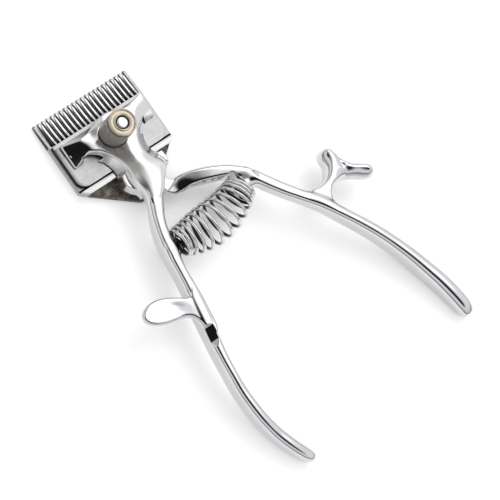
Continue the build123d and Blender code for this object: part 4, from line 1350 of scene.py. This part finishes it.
# ---------------------------------------------------------------------------
# stage: floor, sky box light, key light
# ---------------------------------------------------------------------------
me = bpy.data.meshes.new("floor")
R = 4.0
me.from_pydata([(-R, -R, -0.00006), (R, -R, -0.00006), (R, R, -0.00006), (-R, R, -0.00006)], [], [(0, 1, 2, 3)])
floor = bpy.data.objects.new("floor", me)
bpy.context.scene.collection.objects.link(floor)
m, n = material("floor_card")
p = n.new("ShaderNodeTexCoord").outputs["Object"]
v = n.noise(p, 30.0, 3.0, 0.5)
b = n.new("ShaderNodeBsdfPrincipled", {"Base Color": n.ramp(v, [(0.3, (0.35, 0.35, 0.348)), (0.7, (0.362, 0.362, 0.360))]),
                                       "Roughness": 0.7, "Emission Color": (1.0, 1.0, 0.997, 1.0)})
b.inputs["Specular IOR Level"].default_value = 0.1
# the floor glows through emission; ambient occlusion dims the glow into painted contact shadow near the object
ao = n.new("ShaderNodeAmbientOcclusion", samples=8)
ao.inputs["Distance"].default_value = 0.030
ao_dimmed_floor_glow = n.ramp(ao.outputs["AO"], [(0.12, (0.06, 0.06, 0.06)), (0.42, (0.52, 0.52, 0.52)), (0.72, (0.70, 0.70, 0.70))])
n.link(ao_dimmed_floor_glow, b.inputs["Emission Strength"])
finish_material(n, b)
me.materials.append(m)

world = bpy.data.worlds.new("studio")
bpy.context.scene.world = world
world.use_nodes = True
n = Nodes(world.node_tree)
g = n.new("ShaderNodeTexCoord").outputs["Generated"]
d = n.vmath("NORMALIZE", g)
sep = n.new("ShaderNodeSeparateXYZ", {"Vector": d})
up = sep.outputs["Z"]
base = n.ramp(n.math("ADD", n.math("MULTIPLY", up, 0.5), 0.5),
              [(0.0, (0.55, 0.55, 0.55)), (0.50, (0.10, 0.10, 0.105)), (0.53, (0.14, 0.14, 0.145)), (0.58, (0.45, 0.45, 0.46)), (0.68, (0.80, 0.80, 0.82)), (0.84, (0.95, 0.95, 0.97)), (1.0, (1.0, 1.0, 1.02))])


def near_line(a, b):
    """Distance in direction space from the arc between two directions."""
    a, b = Vector(a).normalized(), Vector(b).normalized()
    ab = b - a
    rel = n.vmath("SUBTRACT", d, tuple(a))
    t = n.math("DIVIDE", n.vmath("DOT_PRODUCT", rel, tuple(ab), out=1), ab.length_squared)
    t = n.math("MINIMUM", n.math("MAXIMUM", t, 0.0), 1.0)
    along = n.scale(n.new("ShaderNodeCombineXYZ", {"X": ab.x, "Y": ab.y, "Z": ab.z}).outputs[0], t)
    return n.vmath("LENGTH", n.vmath("SUBTRACT", rel, along), out=1)


panel = n.ramp(near_line((-0.43, 0.10, 0.90), (-0.46, -0.62, 0.64)), [(0.18, (1.0, 1.0, 1.0)), (0.31, (0.0, 0.0, 0.0))])
base = n.mix(panel, base, (1.95, 1.95, 1.95))
left = n.ramp(near_line((-0.80, 0.35, 0.48), (-0.80, -0.45, 0.40)), [(0.18, (1.0, 1.0, 1.0)), (0.36, (0.0, 0.0, 0.0))])
base = n.mix(left, base, (0.98, 0.98, 0.99))
warm = n.ramp(near_line((0.16, -0.22, 0.96), (0.0, -0.62, 0.78)), [(0.14, (1.0, 1.0, 1.0)), (0.30, (0.0, 0.0, 0.0))])
base = n.mix(warm, base, (0.40, 0.385, 0.345))
core = n.ramp(near_line((0.3999, -0.0048, 0.9165), (0.12, 0.46, 0.88)), [(0.21, (1.0, 1.0, 1.0)), (0.26, (0.80, 0.80, 0.80)), (0.42, (0.0, 0.0, 0.0))])
world_colour = n.mix(core, base, (0.012, 0.012, 0.012))
bg = n.new("ShaderNodeBackground", {"Color": world_colour, "Strength": 1.0})
n.new("ShaderNodeOutputWorld", {"Surface": bg.outputs[0]})


def area(name, loc, target, size, energy, size_y=None, colour=(1, 1, 1)):
    d = bpy.data.lights.new(name, "AREA")
    d.shape = "RECTANGLE"
    d.size = size
    d.size_y = size_y or size
    d.energy = energy
    d.color = colour
    o = bpy.data.objects.new(name, d)
    o.location = loc
    o.rotation_euler = (Vector(target) - Vector(loc)).to_track_quat("-Z", "Y").to_euler()
    bpy.context.scene.collection.objects.link(o)
    return o


key = area("key", (-0.72, -0.25, 0.80), (-0.02, 0.05, 0.0), 0.70, 7.0)
key.visible_glossy = False

vs = bpy.context.scene.view_settings
vs.view_transform = "Standard"
vs.look = "None"
vs.exposure = 0.0
vs.gamma = 1.0
